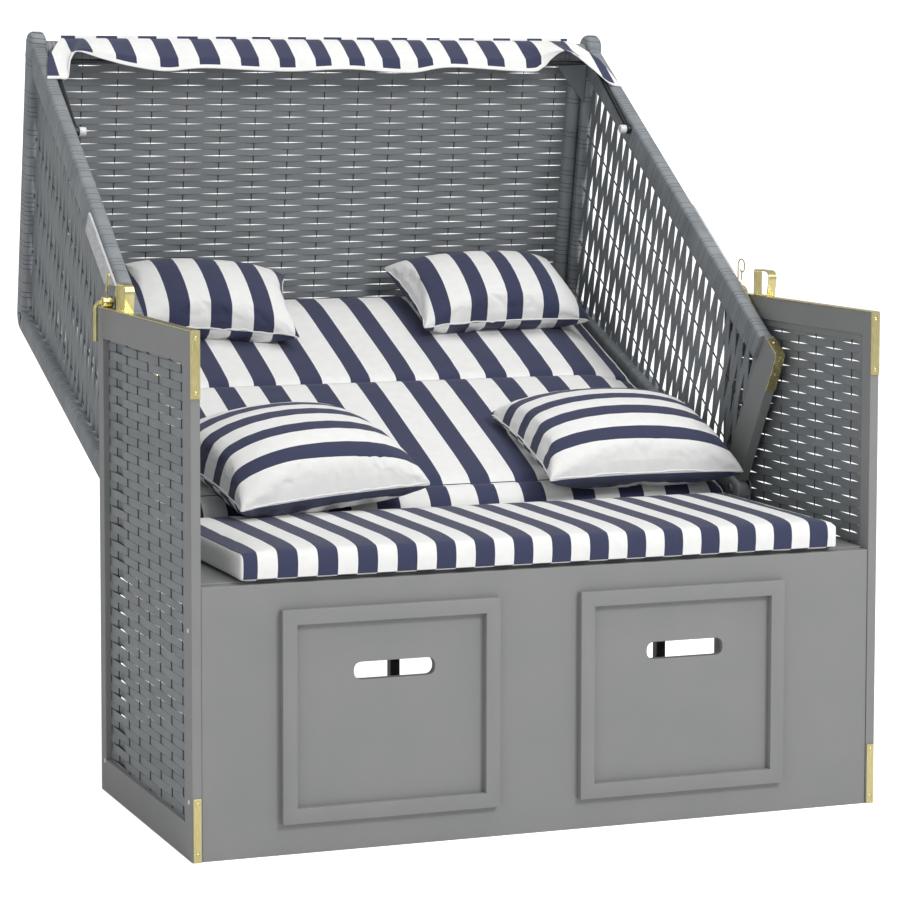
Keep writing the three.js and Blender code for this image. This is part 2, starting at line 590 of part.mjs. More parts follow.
// Side frames, one bent and wrapped rail each, with the bores of the pivot bolt and the awning knob
function addHoodFrames() {
  const corner = hoodRail.cornerRadius;
  const shape = roundedShape([
    hood.heel, hood.rear, hood.crown, hood.nose, hood.noseIn, hood.crownIn, hood.rearIn, hood.heelIn,
  ], [hoodRail.back / 2, corner, corner, corner / 2, corner / 2, corner / 2, corner / 2, hoodRail.back / 2]);
  const domeTop = hoodRoofLength() + hoodWrap.domeRise;
  const onRoof = (distance, inward) => along(along(hood.rear, hoodRoofAngle, distance),
    hoodRoofAngle + quarterTurn, inward);
  const wrapRadius = hoodRail.roof / 2;
  const wrapShape = roundedShape([
    onBack(hoodWrap.start, 0), hood.rear, onRoof(domeTop, 0), onRoof(domeTop, hoodRail.roof),
    hood.rearIn, onBack(hoodWrap.start, hoodRail.back),
  ], [corner / 2, corner, wrapRadius, wrapRadius, corner / 2, corner / 2]);
  const wrap = prismX(wrapShape, hoodInner - hoodWrap.inner, hoodOuter + hoodWrap.extra, hoodRail.bevel);
  const body = solidOf(prismX(shape, hoodInner, hoodOuter, hoodRail.bevel)).add(solidOf(wrap));
  const boltHole = rodX(hoodPivot.boltRadius + hoodPivot.clearance, hoodInner - cutOverrun,
    hoodOuter + cutOverrun, pivot.x, pivot.y);
  const knobPlace = onFront(bowPivotAlong, -bowPivot.below);
  const knobHole = rodX(knob.pinRadius + knob.clearance, hoodInner - cutOverrun,
    hoodInner + knob.pinSeat + fitGap, knobPlace.x, knobPlace.y);
  addPair('hood_frame', geometryOf(without(body, [boltHole, knobHole])), finishes.wicker);
}

// Length of the roof's outer line, from the rear corner to the crown
function hoodRoofLength() {
  return hood.rear.distanceTo(hood.crown);
}

// Cross rails between the two side frames, and the plates that brace the upper corners
function addHoodCrossRails() {
  const half = crossHalf;
  const top = topRailCentre();
  add('hood_top_rail', rodX(topRailRadius, -half, half, top.x, top.y, 12), finishes.wicker);
  const corner = cornerRailCentre();
  add('hood_corner_rail', rodX(cornerRailRadius, -half, half, corner.x, corner.y, 12), finishes.wicker);
  const slatTop = backWeaveRise;
  const slat = [
    onBack(lowerSlat.start, 0), onBack(lowerSlat.start + lowerSlat.width, 0),
    onBack(lowerSlat.start + lowerSlat.width, slatTop), onBack(lowerSlat.start, slatTop),
  ];
  add('hood_lower_slat', prismX(roundedShape(slat, 0), -half, half), finishes.paintedWood);

  const gussetTop = along(top, hoodRoofAngle + Math.PI, topRailRadius + fitGap);
  const gussetFace = hoodRail.roof / 2 + roofRollRadius + fitGap;
  const gussetX = half;
  const plate = new THREE.Shape([
    point(gussetX, 0), point(gussetX - gusset.width, 0), point(gussetX, -gusset.height),
  ]);
  const forward = direction(hoodRoofAngle + quarterTurn);
  const up = direction(hoodRoofAngle);
  const base = along(roofLinePoint(gussetTop), hoodRoofAngle + quarterTurn, gussetFace);
  const lay = new THREE.Matrix4().makeBasis(
    new THREE.Vector3(1, 0, 0), new THREE.Vector3(0, up.x, up.y), new THREE.Vector3(0, forward.x, forward.y));
  lay.setPosition(0, base.x, base.y);
  const geometry = new THREE.ExtrudeGeometry(plate, { depth: gusset.thickness, bevelEnabled: false });
  addPair('hood_gusset', geometry.applyMatrix4(lay), finishes.wicker);
}

function topRailCentre() {
  const front = along(hood.nose, hoodFrontAngle - quarterTurn, topRailRadius + fitGap);
  const roof = along(hood.rear, hoodRoofAngle + quarterTurn, hoodRail.roof / 2);
  return meet(front, hoodFrontAngle, roof, hoodRoofAngle);
}

function cornerRailCentre() {
  const back = along(hood.heel, hoodBackRise + quarterTurn, cornerRailInset);
  const roof = along(hood.rear, hoodRoofAngle + quarterTurn, cornerRailInset);
  return meet(back, hoodBackRise, roof, hoodRoofAngle);
}

// The point of the roof's outer line that lies square to the given one
function roofLinePoint(place) {
  return meet(hood.rear, hoodRoofAngle, place, hoodRoofAngle + quarterTurn);
}

// Woven panels: both sides, the roof with a wrapped roll along each edge, and the back
function addHoodWeaves() {
  const gap = fitGap;
  const frontLine = onFront(0, -hoodRail.front - gap);
  const backLine = onBack(0, hoodRail.back + gap);
  const roofLine = along(hood.rear, hoodRoofAngle + quarterTurn, hoodRail.roof + gap);
  const cheekLine = along(cheekPoints().rearLow, hoodBackRise, gap);
  const side = [
    meet(backLine, hoodBackRise, roofLine, hoodRoofAngle),
    meet(roofLine, hoodRoofAngle, frontLine, hoodFrontAngle),
    meet(frontLine, hoodFrontAngle, cheekLine, cheekEdgeAngle),
    meet(cheekLine, cheekEdgeAngle, backLine, hoodBackRise),
  ];
  const middle = hoodMiddle;
  const sideCorner = hoodRail.cornerRadius / 2 + gap * 2;
  const sideShape = roundedShape(side, [sideCorner, sideCorner, sideCorner, 0]);
  sideLenses(side).forEach((opening) => sideShape.holes.push(opening));
  addPair('hood_side_weave', prismX(sideShape, middle - weaveThickness / 2, middle + weaveThickness / 2),
    finishes.wicker);

  const half = crossHalf;
  const roofStart = along(hood.rear, hoodRoofAngle + quarterTurn, hoodRail.roof / 2);
  const roofLow = along(roofStart, hoodRoofAngle, cornerRailRadius * 9 / 4);
  const roofHigh = along(topRailCentre(), hoodRoofAngle, -topRailRadius - gap);
  const roofSlab = [
    along(roofLow, hoodRoofAngle - quarterTurn, weaveThickness / 2),
    along(roofHigh, hoodRoofAngle - quarterTurn, weaveThickness / 2),
    along(roofHigh, hoodRoofAngle + quarterTurn, weaveThickness / 2),
    along(roofLow, hoodRoofAngle + quarterTurn, weaveThickness / 2),
  ];
  const rolls = [-1, 1].map((sideways) => {
    const x = sideways * (half - roofRollRadius);
    const ends = [roofLow, roofHigh].map((p) => new THREE.Vector3(x, p.x, p.y));
    return wire(ends, roofRollRadius, 12);
  });
  const slab = prismX(roundedShape(roofSlab, 0), -half + roofRollRadius, half - roofRollRadius);
  add('hood_roof_weave', join(slab, ...rolls), finishes.wicker);

  const corner = cornerRailCentre();
  const cornerAlong = corner.clone().sub(hood.heel).dot(direction(hoodBackRise));
  const backStart = lowerSlat.start + lowerSlat.width + gap;
  const backEnd = cornerAlong - cornerRailRadius - gap;
  const low = backWeaveRise - weaveThickness / 2;
  const high = backWeaveRise + weaveThickness / 2;
  const back = [onBack(backStart, low), onBack(backEnd, low), onBack(backEnd, high), onBack(backStart, high)];
  add('hood_back_weave', prismX(roundedShape(back, 0), -half, half), finishes.wicker);
}

// The side weave's openings: lines of lenses below the front rail, left out where the panel ends
function sideLenses(side) {
  const { columns, rows, lean, firstBelowShare, lengthShare, heightShare, marginShare } = sideOpenings;
  const frontLength = hood.nose.distanceTo(hood.crown);
  const columnSpan = frontLength / columns;
  const depth = side.reduce((most, p) => Math.max(most, belowFront(p)), 0);
  const rowSpan = depth / (rows + 1);
  const halfLength = rowSpan * lengthShare / 2;
  const halfHeight = columnSpan * heightShare / 2;
  const lenses = [];
  for (let row = 0; row < rows; row++) {
    for (let column = 0; column <= columns; column++) {
      const down = depth * firstBelowShare + row * rowSpan;
      const slide = (column + row % 2 / 2) * columnSpan;
      const centre = along(onFront(slide, 0), lean, -down / Math.sin(lean - hoodFrontAngle));
      const reach = lens(centre, lean, halfLength * (1 + marginShare), halfHeight * (1 + marginShare));
      if (reach.getPoints().every((p) => isInside(p, side, columnSpan * marginShare))) {
        lenses.push(lens(centre, lean, halfLength, halfHeight));
      }
    }
  }
  return lenses;
}

// How far a point of the side view lies below the front rail's outer line
function belowFront(p) {
  return -p.clone().sub(hood.nose).dot(direction(hoodFrontAngle + quarterTurn));
}

// Whether a point lies inside a convex outline, at least the margin away from each of its sides
function isInside(p, outline, margin) {
  const depths = outline.map((corner, i) => {
    const next = outline[(i + 1) % outline.length];
    const side = next.clone().sub(corner).normalize();
    return side.cross(p.clone().sub(corner));
  });
  return depths.every((deep) => deep > margin) || depths.every((deep) => deep < -margin);
}

// Corners of the cheek board, which closes the side between the front rail's end and the back rail
function cheekPoints() {
  const backTop = onBack(0, hoodRail.back + fitGap);
  const railEnd = along(hood.nose, hoodFrontAngle + Math.PI, fitGap);
  const railEndIn = along(railEnd, hoodFrontAngle - quarterTurn, hoodRail.front);
  const tip = along(railEnd, hoodFrontAngle + Math.PI, cheek.noseLength);
  const frontLow = meet(tip, cheekEdgeAngle, backTop, hoodBackRise);
  const rearLow = meet(railEndIn, cheekEdgeAngle, backTop, hoodBackRise);
  return { railEnd, railEndIn, tip, frontLow, rearLow };
}

function addCheeks() {
  const { railEnd, railEndIn, tip, frontLow, rearLow } = cheekPoints();
  const shape = roundedShape([frontLow, rearLow, railEndIn, railEnd, tip],
    [0, 0, 0, 0, cheek.cornerRadius]);
  addPair('cheek', prismX(shape, hoodOuter - cheek.thickness, hoodOuter), finishes.paintedWood);

  const out = cheekStrap.thickness;
  const upperEnd = along(tip, hoodFrontAngle, cheekStrap.upper);
  const lowerEnd = along(tip, cheekEdgeAngle + Math.PI, cheekStrap.lower);
  const frontOut = hoodFrontAngle + quarterTurn;
  const edgeOut = cheekEdgeAngle + quarterTurn;
  const tipAt = (reach) => meet(along(tip, frontOut, reach), hoodFrontAngle,
    along(tip, edgeOut, reach), cheekEdgeAngle);
  const innerTip = tipAt(fitGap);
  const outerTip = tipAt(fitGap + out);
  const strap = roundedShape([
    along(upperEnd, frontOut, fitGap), along(upperEnd, frontOut, fitGap + out), outerTip,
    along(lowerEnd, edgeOut, fitGap + out), along(lowerEnd, edgeOut, fitGap), innerTip,
  ], [0, 0, cheek.cornerRadius + out, 0, 0, cheek.cornerRadius - fitGap]);
  addPair('cheek_strap', prismX(strap, hoodOuter - cheek.thickness, hoodOuter), finishes.brass);
}

// Pivot bolts through the heel of each side frame, and the plates on the walls that carry them
function addPivots() {
  const plateOuter = wallInner - fitGap;
  const plateInner = plateOuter - pivotPlate.thickness;
  const boltEnd = plateOuter;
  const shank = rodX(hoodPivot.boltRadius, hoodInner - fitGap, boltEnd, pivot.x, pivot.y, 16);
  const headEnd = hoodInner - fitGap;
  const head = rodX(hoodPivot.headRadius, headEnd - hoodPivot.headHeight, headEnd, pivot.x, pivot.y, 16);
  addPair('pivot_bolt', join(shank, head), finishes.steel);
  const rear = wallDepth - rearBeam.thickness - fitGap;
  const halfHeight = pivotPlate.height / 2;
  const plate = roundedShape(
    rectangle(pivot.x - halfHeight, rear, pivot.y - halfHeight, pivot.y + halfHeight),
    [halfHeight, 0, 0, halfHeight]);
  const hole = rodX(hoodPivot.boltRadius + hoodPivot.clearance, plateInner - cutOverrun,
    plateOuter + cutOverrun, pivot.x, pivot.y);
  addPair('pivot_plate', cut(prismX(plate, plateInner, plateOuter), hole), finishes.steel);
}

// Pale slat and brass strap on the outer face of each front rail
function addSideSlats() {
  const inner = hoodOuter + fitGap;
  const top = -sideSlat.edgeInset;
  const bottom = top - sideSlat.width;
  const slat = roundedShape([
    onFront(sideSlat.start, bottom), onFront(sideSlat.end, bottom), onFront(sideSlat.end, top),
    onFront(sideSlat.start - sideSlat.lowerLead, top),
  ], 0);
  addPair('side_slat', prismX(slat, inner, inner + sideSlat.thickness), finishes.paleWood);
  const strapEnd = sideSlat.start - sideSlat.lowerLead - fitGap;
  const strap = roundedShape([
    onFront(slatStrap.start, top - slatStrap.width), onFront(strapEnd, top - slatStrap.width),
    onFront(strapEnd, top), onFront(slatStrap.start, top),
  ], [slatStrap.width / 2, 0, 0, slatStrap.width / 2]);
  addPair('slat_strap', prismX(strap, inner, inner + slatStrap.thickness), finishes.brass);
}

// Awning bow: two arms and a crossbar of one bent rod, an eye at each end, and the knobs it turns on
function addBow() {
  const turnPoint = onFront(bowPivotAlong, -bowPivot.below);
  const barPoint = onFront(barAlong, -bowBar.below);
  const armX = hoodInner - fitGap - bow.radius;
  const armLength = barPoint.distanceTo(turnPoint);
  const arm = barPoint.clone().sub(turnPoint).divideScalar(armLength);
  const place = (x, distance) => {
    const p = turnPoint.clone().addScaledVector(arm, distance);
    return new THREE.Vector3(x, p.x, p.y);
  };
  const bend = bow.cornerRadius;
  const halfPath = [place(armX, 0)];
  for (let i = 0; i <= bow.cornerSteps; i++) {
    const turn = i / bow.cornerSteps * quarterTurn;
    halfPath.push(place(armX - bend + Math.cos(turn) * bend, armLength - bend + Math.sin(turn) * bend));
  }
  const otherHalf = halfPath.map((p) => new THREE.Vector3(-p.x, p.y, p.z)).reverse();
  const rod = wire([...halfPath, ...otherHalf], bow.radius, bow.sides);
  const eyes = [-1, 1].map((side) => {
    const ends = [side * (armX - bow.radius), side * (armX + bow.radius)].sort((a, b) => a - b);
    return rodX(bow.eyeRadius, ends[0], ends[1], turnPoint.x, turnPoint.y, 14);
  });
  const holes = [-1, 1].map((side) => {
    const reach = bow.radius + cutOverrun;
    const middle = side * armX;
    const bore = knob.pinRadius + knob.clearance;
    return rodX(bore, middle - reach, middle + reach, turnPoint.x, turnPoint.y, 12);
  });
  add('awning_bow', cut(join(rod, ...eyes), ...holes), finishes.blackSteel);

  const knobEnd = armX - bow.radius - fitGap;
  const handle = rodX(knob.radius, knobEnd - knob.length, knobEnd, turnPoint.x, turnPoint.y, 14);
  const pinEnd = hoodInner + knob.pinSeat;
  const pin = rodX(knob.pinRadius, knobEnd - knob.length / 2, pinEnd, turnPoint.x, turnPoint.y, 12);
  addPair('awning_knob', join(handle, pin), finishes.palePlastic);
}

// Awning cloth: from the top rail over the bow's bar to a wavy hem, with a flap over each front rail
function addAwning() {
  const hemHalf = hoodOuter - awning.edgeInset;
  const barHalf = hoodInner + awning.barOver;
  const rearHalf = hoodInner - awning.rearInset;
  const curveOf = (pick) => new THREE.CatmullRomCurve3(awningHemShares.map(pick), false, 'centripetal');
  const hem = curveOf((p) => new THREE.Vector3(
    p.across * hemHalf, barAlong - p.drop * awning.hemDrop, p.rise * awning.hemRise));
  const lifts = curveOf((p) => new THREE.Vector3(p.across * hemHalf, p.lift * awning.hemLift, 0));
  const barRise = bow.radius - bowBar.below + awning.thickness / 2 + awning.rest;
  const rings = [];
  for (let i = 0; i <= awning.columns; i++) {
    const end = hem.getPoint(i / awning.columns);
    const lift = Math.max(0, lifts.getPoint(i / awning.columns).y);
    const share = end.x / hemHalf;
    const flap = Math.min(1, Math.max(0, (barAlong - awning.frontAlong * 3 - end.y) / awning.frontAlong));
    const stations = [
      [share * rearHalf, barAlong + awning.rearAhead, awning.rearRise],
      [share * barHalf, barAlong, barRise + lift],
    ];
    const front = [barAlong - awning.frontAlong, barRise + lift - awning.frontRise * (1 - flap)];
    stations.push([(share * barHalf + end.x) / 2, front[0], front[1]]);
    stations.push([end.x, end.y, end.z]);
    const path = [];
    const steps = [awning.railRows, 1, awning.hemRows];
    steps.forEach((count, k) => {
      for (let j = 0; j < count; j++) {
        const t = j / count;
        path.push(stations[k].map((value, axis) => value + (stations[k + 1][axis] - value) * t));
      }
    });
    path.push(stations[3]);
    const faces = [1, -1].map((side) => path.map(([x, distance, rise], j) => {
      const before = path[Math.max(j - 1, 0)];
      const after = path[Math.min(j + 1, path.length - 1)];
      const normal = point(after[2] - before[2], before[1] - after[1]).normalize();
      const half = side * awning.thickness / 2;
      const p = onFront(distance + normal.x * half, rise + normal.y * half);
      return new THREE.Vector3(x, p.x, p.y);
    }));
    rings.push([...faces[0], ...faces[1].reverse()]);
  }
  add('awning_cloth', loft(rings), finishes.stripedFabric);
}

// The seat cushion's profile in shares of its depth and thickness
const seatProfileShares = [
  [0, 0], [-0.006, 0.25], [-0.01, 0.55], [-0.004, 0.85], [0.012, 1], [0.2, 1], [0.4, 1], [0.6, 1],
  [0.8, 1], [0.97, 1], [0.995, 0.85], [1, 0.5], [0.995, 0.15], [0.98, 0], [0.66, 0], [0.33, 0],
];

// Seat cushion: crowned top, full front edge, sides drawn in between the corners
function addSeatCushion() {
  const { thickness, crown, overhang, sideDraw, shift } = seatCushion;
  const bottom = seatBoardTop + fitGap;
  const stations = 22;
  const rings = [];
  for (let i = 0; i <= stations; i++) {
    const across = i / stations * 2 - 1;
    const ease = 1 - Math.abs(across) ** 6;
    const bow = Math.sign(across) * sideDraw * Math.abs(across) ** 8;
    const x = shift + across * (seatCushionWidth / 2 - sideDraw) + bow;
    const rise = crown * (1 - across ** 8);
    const draw = sideDraw * ease * 0.4;
    const front = -overhang + draw / 2;
    const rear = seatCushionDepth - draw;
    const height = thickness - crown * Math.abs(across) ** 40;
    const ring = seatProfileShares.map(([deep, high]) => {
      const top = high === 1 ? rise * Math.max(0, 1 - (deep * 2 - 1) ** 4) : 0;
      return new THREE.Vector3(x, front + deep * (rear - front), bottom + high * height + top);
    });
    rings.push(ring.reverse());
  }
  add('seat_cushion', loft(rings), finishes.fabric);
}

// Back cushion on the hood: three crowned fields with sewn channels between them
function addBackCushion() {
  const c = backCushion;
  const channels = [backCushionChannels.first, backCushionChannels.second];
  const channelSteps = [-1, -0.5, 0, 0.5, 1];
  const places = [0, c.edgeRound / 3, c.edgeRound];
  const lastPlace = backCushionLength - c.edgeRound;
  const fields = [[c.edgeRound, channels[1]], [channels[1], channels[0]], [channels[0], lastPlace]];
  fields.forEach(([from, to]) => {
    for (let i = 1; i < 6; i++) places.push(from + (to - from) * i / 6);
  });
  channels.forEach((channel) => {
    channelSteps.forEach((step) => places.push(channel + step * c.channelWidth / 2));
  });
  places.push(lastPlace, backCushionLength - c.edgeRound / 3, backCushionLength);
  const sorted = [...new Set(places)].sort((a, b) => a - b)
    .filter((place, i, all) => i === 0 || place - all[i - 1] > c.edgeRound / 6);
  const columns = 12;
  const rings = sorted.map((place) => {
    const share = place / backCushionLength;
    const channel = channels.reduce((deep, at) =>
      Math.max(deep, Math.max(0, 1 - Math.abs(place - at) / (c.channelWidth / 2))), 0);
    const field = fields.find(([from, to]) => place >= from && place <= to) || [0, backCushionLength];
    const fieldShare = (place - field[0]) / (field[1] - field[0]);
    const swell = Math.max(0, 4 * fieldShare * (1 - fieldShare)) ** 0.5;
    const endRound = Math.min(1, place / c.edgeRound, (backCushionLength - place) / c.edgeRound);
    const full = c.startThickness + (c.endThickness - c.startThickness) * share;
    const thickness = (full - c.channelDepth * channel) * (0.45 + 0.55 * Math.sqrt(endRound));
    const drawn = c.sideDraw * (0.4 + 0.6 * channel + 1 - Math.sqrt(endRound));
    const half = backCushionWidth / 2 - drawn;
    const ring = [];
    for (let i = 0; i <= columns; i++) {
      const across = 1 - i / columns * 2;
      const edge = Math.max(0, Math.abs(across) - 0.97) / 0.03;
      const crown = c.crown * swell * (1 - across ** 6) * endRound;
      ring.push([across * half, backCushionBase + thickness * (1 - 0.35 * edge) + crown]);
    }
    ring.push([-half - c.sideDraw / 3, backCushionBase + thickness / 2]);
    ring.push([-half + c.sideDraw, backCushionBase]);
    ring.push([0, backCushionBase], [half - c.sideDraw, backCushionBase]);
    ring.push([half + c.sideDraw / 3, backCushionBase + thickness / 2]);
    return ring.reverse().map(([x, rise]) => {
      const p = onBack(c.start + place, rise);
      return new THREE.Vector3(x, p.x, p.y);
    });
  });
  add('back_cushion', loft(rings), finishes.fabric);
}

// Height of what a pillow rests on: the seat cushion in front, the back cushion behind
function restHeight(y) {
  const back = backCushion;
  const low = onBack(back.start, backCushionBase + back.startThickness + back.crown);
  const high = onBack(back.start + backCushionLength, backCushionBase + back.endThickness + back.crown);
  const slope = (high.y - low.y) / (high.x - low.x);
  return Math.max(seatTop + seatCushion.crown, low.y + (y - low.x) * slope) + fitGap;
}

// A pillow: two bulged faces sewn along an outline that is drawn in between its corners
function pillow(size, centre, tilt) {
  const { depth, bulge, spin } = size;
  const { columns, rows, sag, drawInShare } = pillowShape;
  const width = size.widthShare * hoodInner;
  const place = new THREE.Matrix4().makeRotationFromEuler(new THREE.Euler(tilt, 0, spin, 'XYZ'));
  place.setPosition(centre);
  const vertices = [];
  const index = (face, i, j) => {
    const rim = i === 0 || j === 0 || i === columns || j === rows;
    return (rim ? 0 : face * (columns + 1) * (rows + 1)) + j * (columns + 1) + i;
  };
  for (let face = 0; face < 2; face++) {
    for (let j = 0; j <= rows; j++) {
      for (let i = 0; i <= columns; i++) {
        const u = Math.sin((i / columns - 1 / 2) * Math.PI);
        const v = Math.sin((j / rows - 1 / 2) * Math.PI);
        const x = u * width / 2 * (1 - drawInShare * (1 - v * v) * u * u);
        const y = v * depth / 2 * (1 - drawInShare * (1 - u * u) * v * v);
        const full = ((1 - u * u) * (1 - v * v)) ** 0.42;
        const p = new THREE.Vector3(x, y, face === 0 ? full * bulge : -full * sag);
        p.applyMatrix4(place);
        p.z = Math.max(p.z, restHeight(p.y));
        vertices.push(p);
      }
    }
  }
  const indices = [];
  for (let face = 0; face < 2; face++) {
    for (let j = 0; j < rows; j++) {
      for (let i = 0; i < columns; i++) {
        const a = index(face, i, j);
        const b = index(face, i + 1, j);
        const c = index(face, i + 1, j + 1);
        const d = index(face, i, j + 1);
        indices.push(...(face === 0 ? [a, b, c, a, c, d] : [a, c, b, a, d, c]));
      }
    }
  }
  const geometry = new THREE.BufferGeometry();
  const positions = vertices.flatMap((p) => [p.x, p.y, p.z]);
  geometry.setAttribute('position', new THREE.Float32BufferAttribute(positions, 3));
  geometry.setIndex(indices);
  return mergeVertices(geometry);
}

function addPillows() {
  [lumbarLeft, lumbarRight].forEach((size, i) => {
    const y = hoodHeel.y + size.behindHeel;
    const centre = new THREE.Vector3(size.acrossShare * hoodInner, y, restHeight(y) + size.lift);
    add(`lumbar_pillow_${['left', 'right'][i]}`, pillow(size, centre, size.tilt), finishes.fabric);
  });
  [neckLeft, neckRight].forEach((size, i) => {
    const p = onBack(hoodBackLength - size.belowRear, backCushionBase + backCushion.endThickness + size.lift);
    const centre = new THREE.Vector3(size.acrossShare * hoodInner, p.x, p.y);
    const geometry = pillow(size, centre, hoodBackRise + size.lean);
    add(`neck_pillow_${['left', 'right'][i]}`, geometry, finishes.fabric);
  });
}

addWalls();
addWallFittings();
addLockPins();
addLockClips();
addBox();
addFootrests();
addHoodFrames();
addHoodCrossRails();
addHoodWeaves();
addCheeks();
addPivots();
addSideSlats();
addBow();
addAwning();
addSeatCushion();
addBackCushion();
addPillows();

export default group;
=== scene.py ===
import json
from math import atan2, cos, floor, hypot, pi, radians, sin, sqrt

import bmesh
import bpy
from mathutils import Matrix, Vector


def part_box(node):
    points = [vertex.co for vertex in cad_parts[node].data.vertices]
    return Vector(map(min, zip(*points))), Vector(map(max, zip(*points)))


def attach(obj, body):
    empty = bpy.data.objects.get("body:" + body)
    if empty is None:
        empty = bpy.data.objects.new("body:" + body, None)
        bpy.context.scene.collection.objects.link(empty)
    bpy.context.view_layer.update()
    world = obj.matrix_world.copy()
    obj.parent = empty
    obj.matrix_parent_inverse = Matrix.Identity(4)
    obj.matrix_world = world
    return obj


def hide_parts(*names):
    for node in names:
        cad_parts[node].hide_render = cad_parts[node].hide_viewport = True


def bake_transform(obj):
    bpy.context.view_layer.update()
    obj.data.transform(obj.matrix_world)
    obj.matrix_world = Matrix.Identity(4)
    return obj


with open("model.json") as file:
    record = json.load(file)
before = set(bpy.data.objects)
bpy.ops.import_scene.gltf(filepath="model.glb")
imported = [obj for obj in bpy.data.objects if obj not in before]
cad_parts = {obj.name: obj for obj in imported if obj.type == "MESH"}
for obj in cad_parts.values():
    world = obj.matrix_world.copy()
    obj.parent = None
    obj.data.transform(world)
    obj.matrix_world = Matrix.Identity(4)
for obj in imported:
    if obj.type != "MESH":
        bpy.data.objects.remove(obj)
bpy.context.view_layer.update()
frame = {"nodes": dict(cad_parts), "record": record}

# Lengths here are in millimetres; buildMesh turns them into metres
mm = 0.001
sides = (("Left", -1), ("Right", 1))


# Small helpers for points in the side view, where a point is (y, z)

def ahead(start, angle, distance):
    turn = radians(angle)
    return Vector((start[0] + cos(turn) * distance, start[1] + sin(turn) * distance))


def meet(first, firstAngle, second, secondAngle):
    a = ahead((0, 0), firstAngle, 1)
    b = ahead((0, 0), secondAngle, 1)
    gap = Vector(second) - Vector(first)
    share = gap.cross(b) / a.cross(b)
    return Vector(first) + a * share


def boxOf(node):
    low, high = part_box(node)
    return Vector(low) / mm, Vector(high) / mm


def middleOf(node):
    low, high = boxOf(node)
    return (low + high) / 2


# The hood's side frame: outer lines of its back, roof and front rails
hood = {
    "heel": (419.5, 445.0), "nose": (330.5, 757.0), "backLength": 862.0,
    "backAngle": 20.2, "roofAngle": 100.4, "frontAngle": 33.7,
    "backDepth": 40.0, "roofDepth": 46.0, "frontDepth": 52.0, "corner": 34.0,
    "inner": 542.0, "outer": 568.0, "bevel": 7.0, "wrapStart": 160.0, "wrapExtra": 3.3, "domeRise": 5.0,
    "weaveMiddle": 555.0, "crossHalf": 539.7,
}
hoodRear = ahead(hood["heel"], hood["backAngle"], hood["backLength"])
hoodCrown = meet(hoodRear, hood["roofAngle"], hood["nose"], hood["frontAngle"])


def onBack(distance, rise=0.0):
    return ahead(ahead(hood["heel"], hood["backAngle"], distance), hood["backAngle"] + 90, rise)


def onRoof(distance, inward=0.0):
    return ahead(ahead(hoodRear, hood["roofAngle"], distance), hood["roofAngle"] + 90, inward)


def onFront(distance, rise=0.0):
    return ahead(ahead(hood["nose"], hood["frontAngle"], distance), hood["frontAngle"] + 90, rise)


# Meshes and objects

def buildMesh(name, points, faces, edges=()):
    mesh = bpy.data.meshes.new(name)
    mesh.from_pydata([Vector(p) * mm for p in points], list(edges), faces)
    mesh.validate()
    return mesh


def quads(rows, size, roundRows=False, roundRing=True):
    # Faces between neighbouring rows of size points each, closed round if asked
    faces = []
    for i in range(rows if roundRows else rows - 1):
        here, there = i * size, (i + 1) % rows * size
        for k in range(size if roundRing else size - 1):
            after = (k + 1) % size
            faces.append((here + k, here + after, there + after, there + k))
    return faces


def addObject(name, mesh, *materials):
    piece = bpy.data.objects.new(name, mesh)
    bpy.context.scene.collection.objects.link(piece)
    for material in materials:
        piece.data.materials.append(material)
    return piece


def giveAttribute(mesh, name, values):
    mesh.attributes.new(name, "FLOAT", "POINT").data.foreach_set("value", [float(v) for v in values])


def smoothen(mesh, angle):
    mesh.shade_smooth()
    mesh.set_sharp_from_angle(angle=radians(angle))


def faceOutward(mesh):
    shape = bmesh.new()
    shape.from_mesh(mesh)
    bmesh.ops.recalc_face_normals(shape, faces=shape.faces)
    shape.to_mesh(mesh)
    shape.free()


def bakeModifiers(piece):
    graph = bpy.context.evaluated_depsgraph_get()
    mesh = bpy.data.meshes.new_from_object(piece.evaluated_get(graph), depsgraph=graph)
    mesh.name = piece.name
    piece.modifiers.clear()
    old = piece.data
    piece.data = mesh
    bpy.data.meshes.remove(old)
    return piece


def modify(piece, kind, **settings):
    modifier = piece.modifiers.new(kind.lower(), kind)
    for key, value in settings.items():
        setattr(modifier, key, value)
    return bakeModifiers(piece)


def copyOf(node, name):
    source = bpy.data.objects[node] if node in bpy.data.objects else frame["nodes"][node]
    mesh = source.data.copy()
    mesh.transform(source.matrix_world)
    mesh.materials.clear()
    shape = bmesh.new()
    shape.from_mesh(mesh)
    bmesh.ops.remove_doubles(shape, verts=shape.verts, dist=0.02 * mm)
    bmesh.ops.dissolve_limit(shape, angle_limit=radians(1), verts=shape.verts, edges=shape.edges)
    shape.to_mesh(mesh)
    shape.free()
    mesh.name = name
    return addObject(name, mesh)


def bodyOf(node):
    for body, nodes in frame["record"]["behaviour"]["bodies"].items():
        if node in nodes:
            return body
    return "base"


def settle(piece, body, node=None):
    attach(piece, body)
    if node:
        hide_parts(node)
    return piece


def pieceName(node):
    words = node.split("_")
    return words[0] + "".join(word.capitalize() for word in words[1:])


# Nodes of shaders and of Geometry Nodes are placed and joined in one call each

def place(tree, kind, inputs=None, **settings):
    node = tree.nodes.new(kind)
    for key, value in settings.items():
        setattr(node, key, value)
    for key, value in (inputs or {}).items():
        if isinstance(value, bpy.types.NodeSocket):
            tree.links.new(value, node.inputs[key])
        else:
            node.inputs[key].default_value = value
    return node


def maths(tree, operation, *values):
    return place(tree, "ShaderNodeMath", dict(enumerate(values)), operation=operation).outputs[0]


def vectorMaths(tree, operation, *values):
    node = place(tree, "ShaderNodeVectorMath", dict(enumerate(values)), operation=operation)
    return node.outputs["Value"] if operation in ("DOT_PRODUCT", "LENGTH") else node.outputs["Vector"]


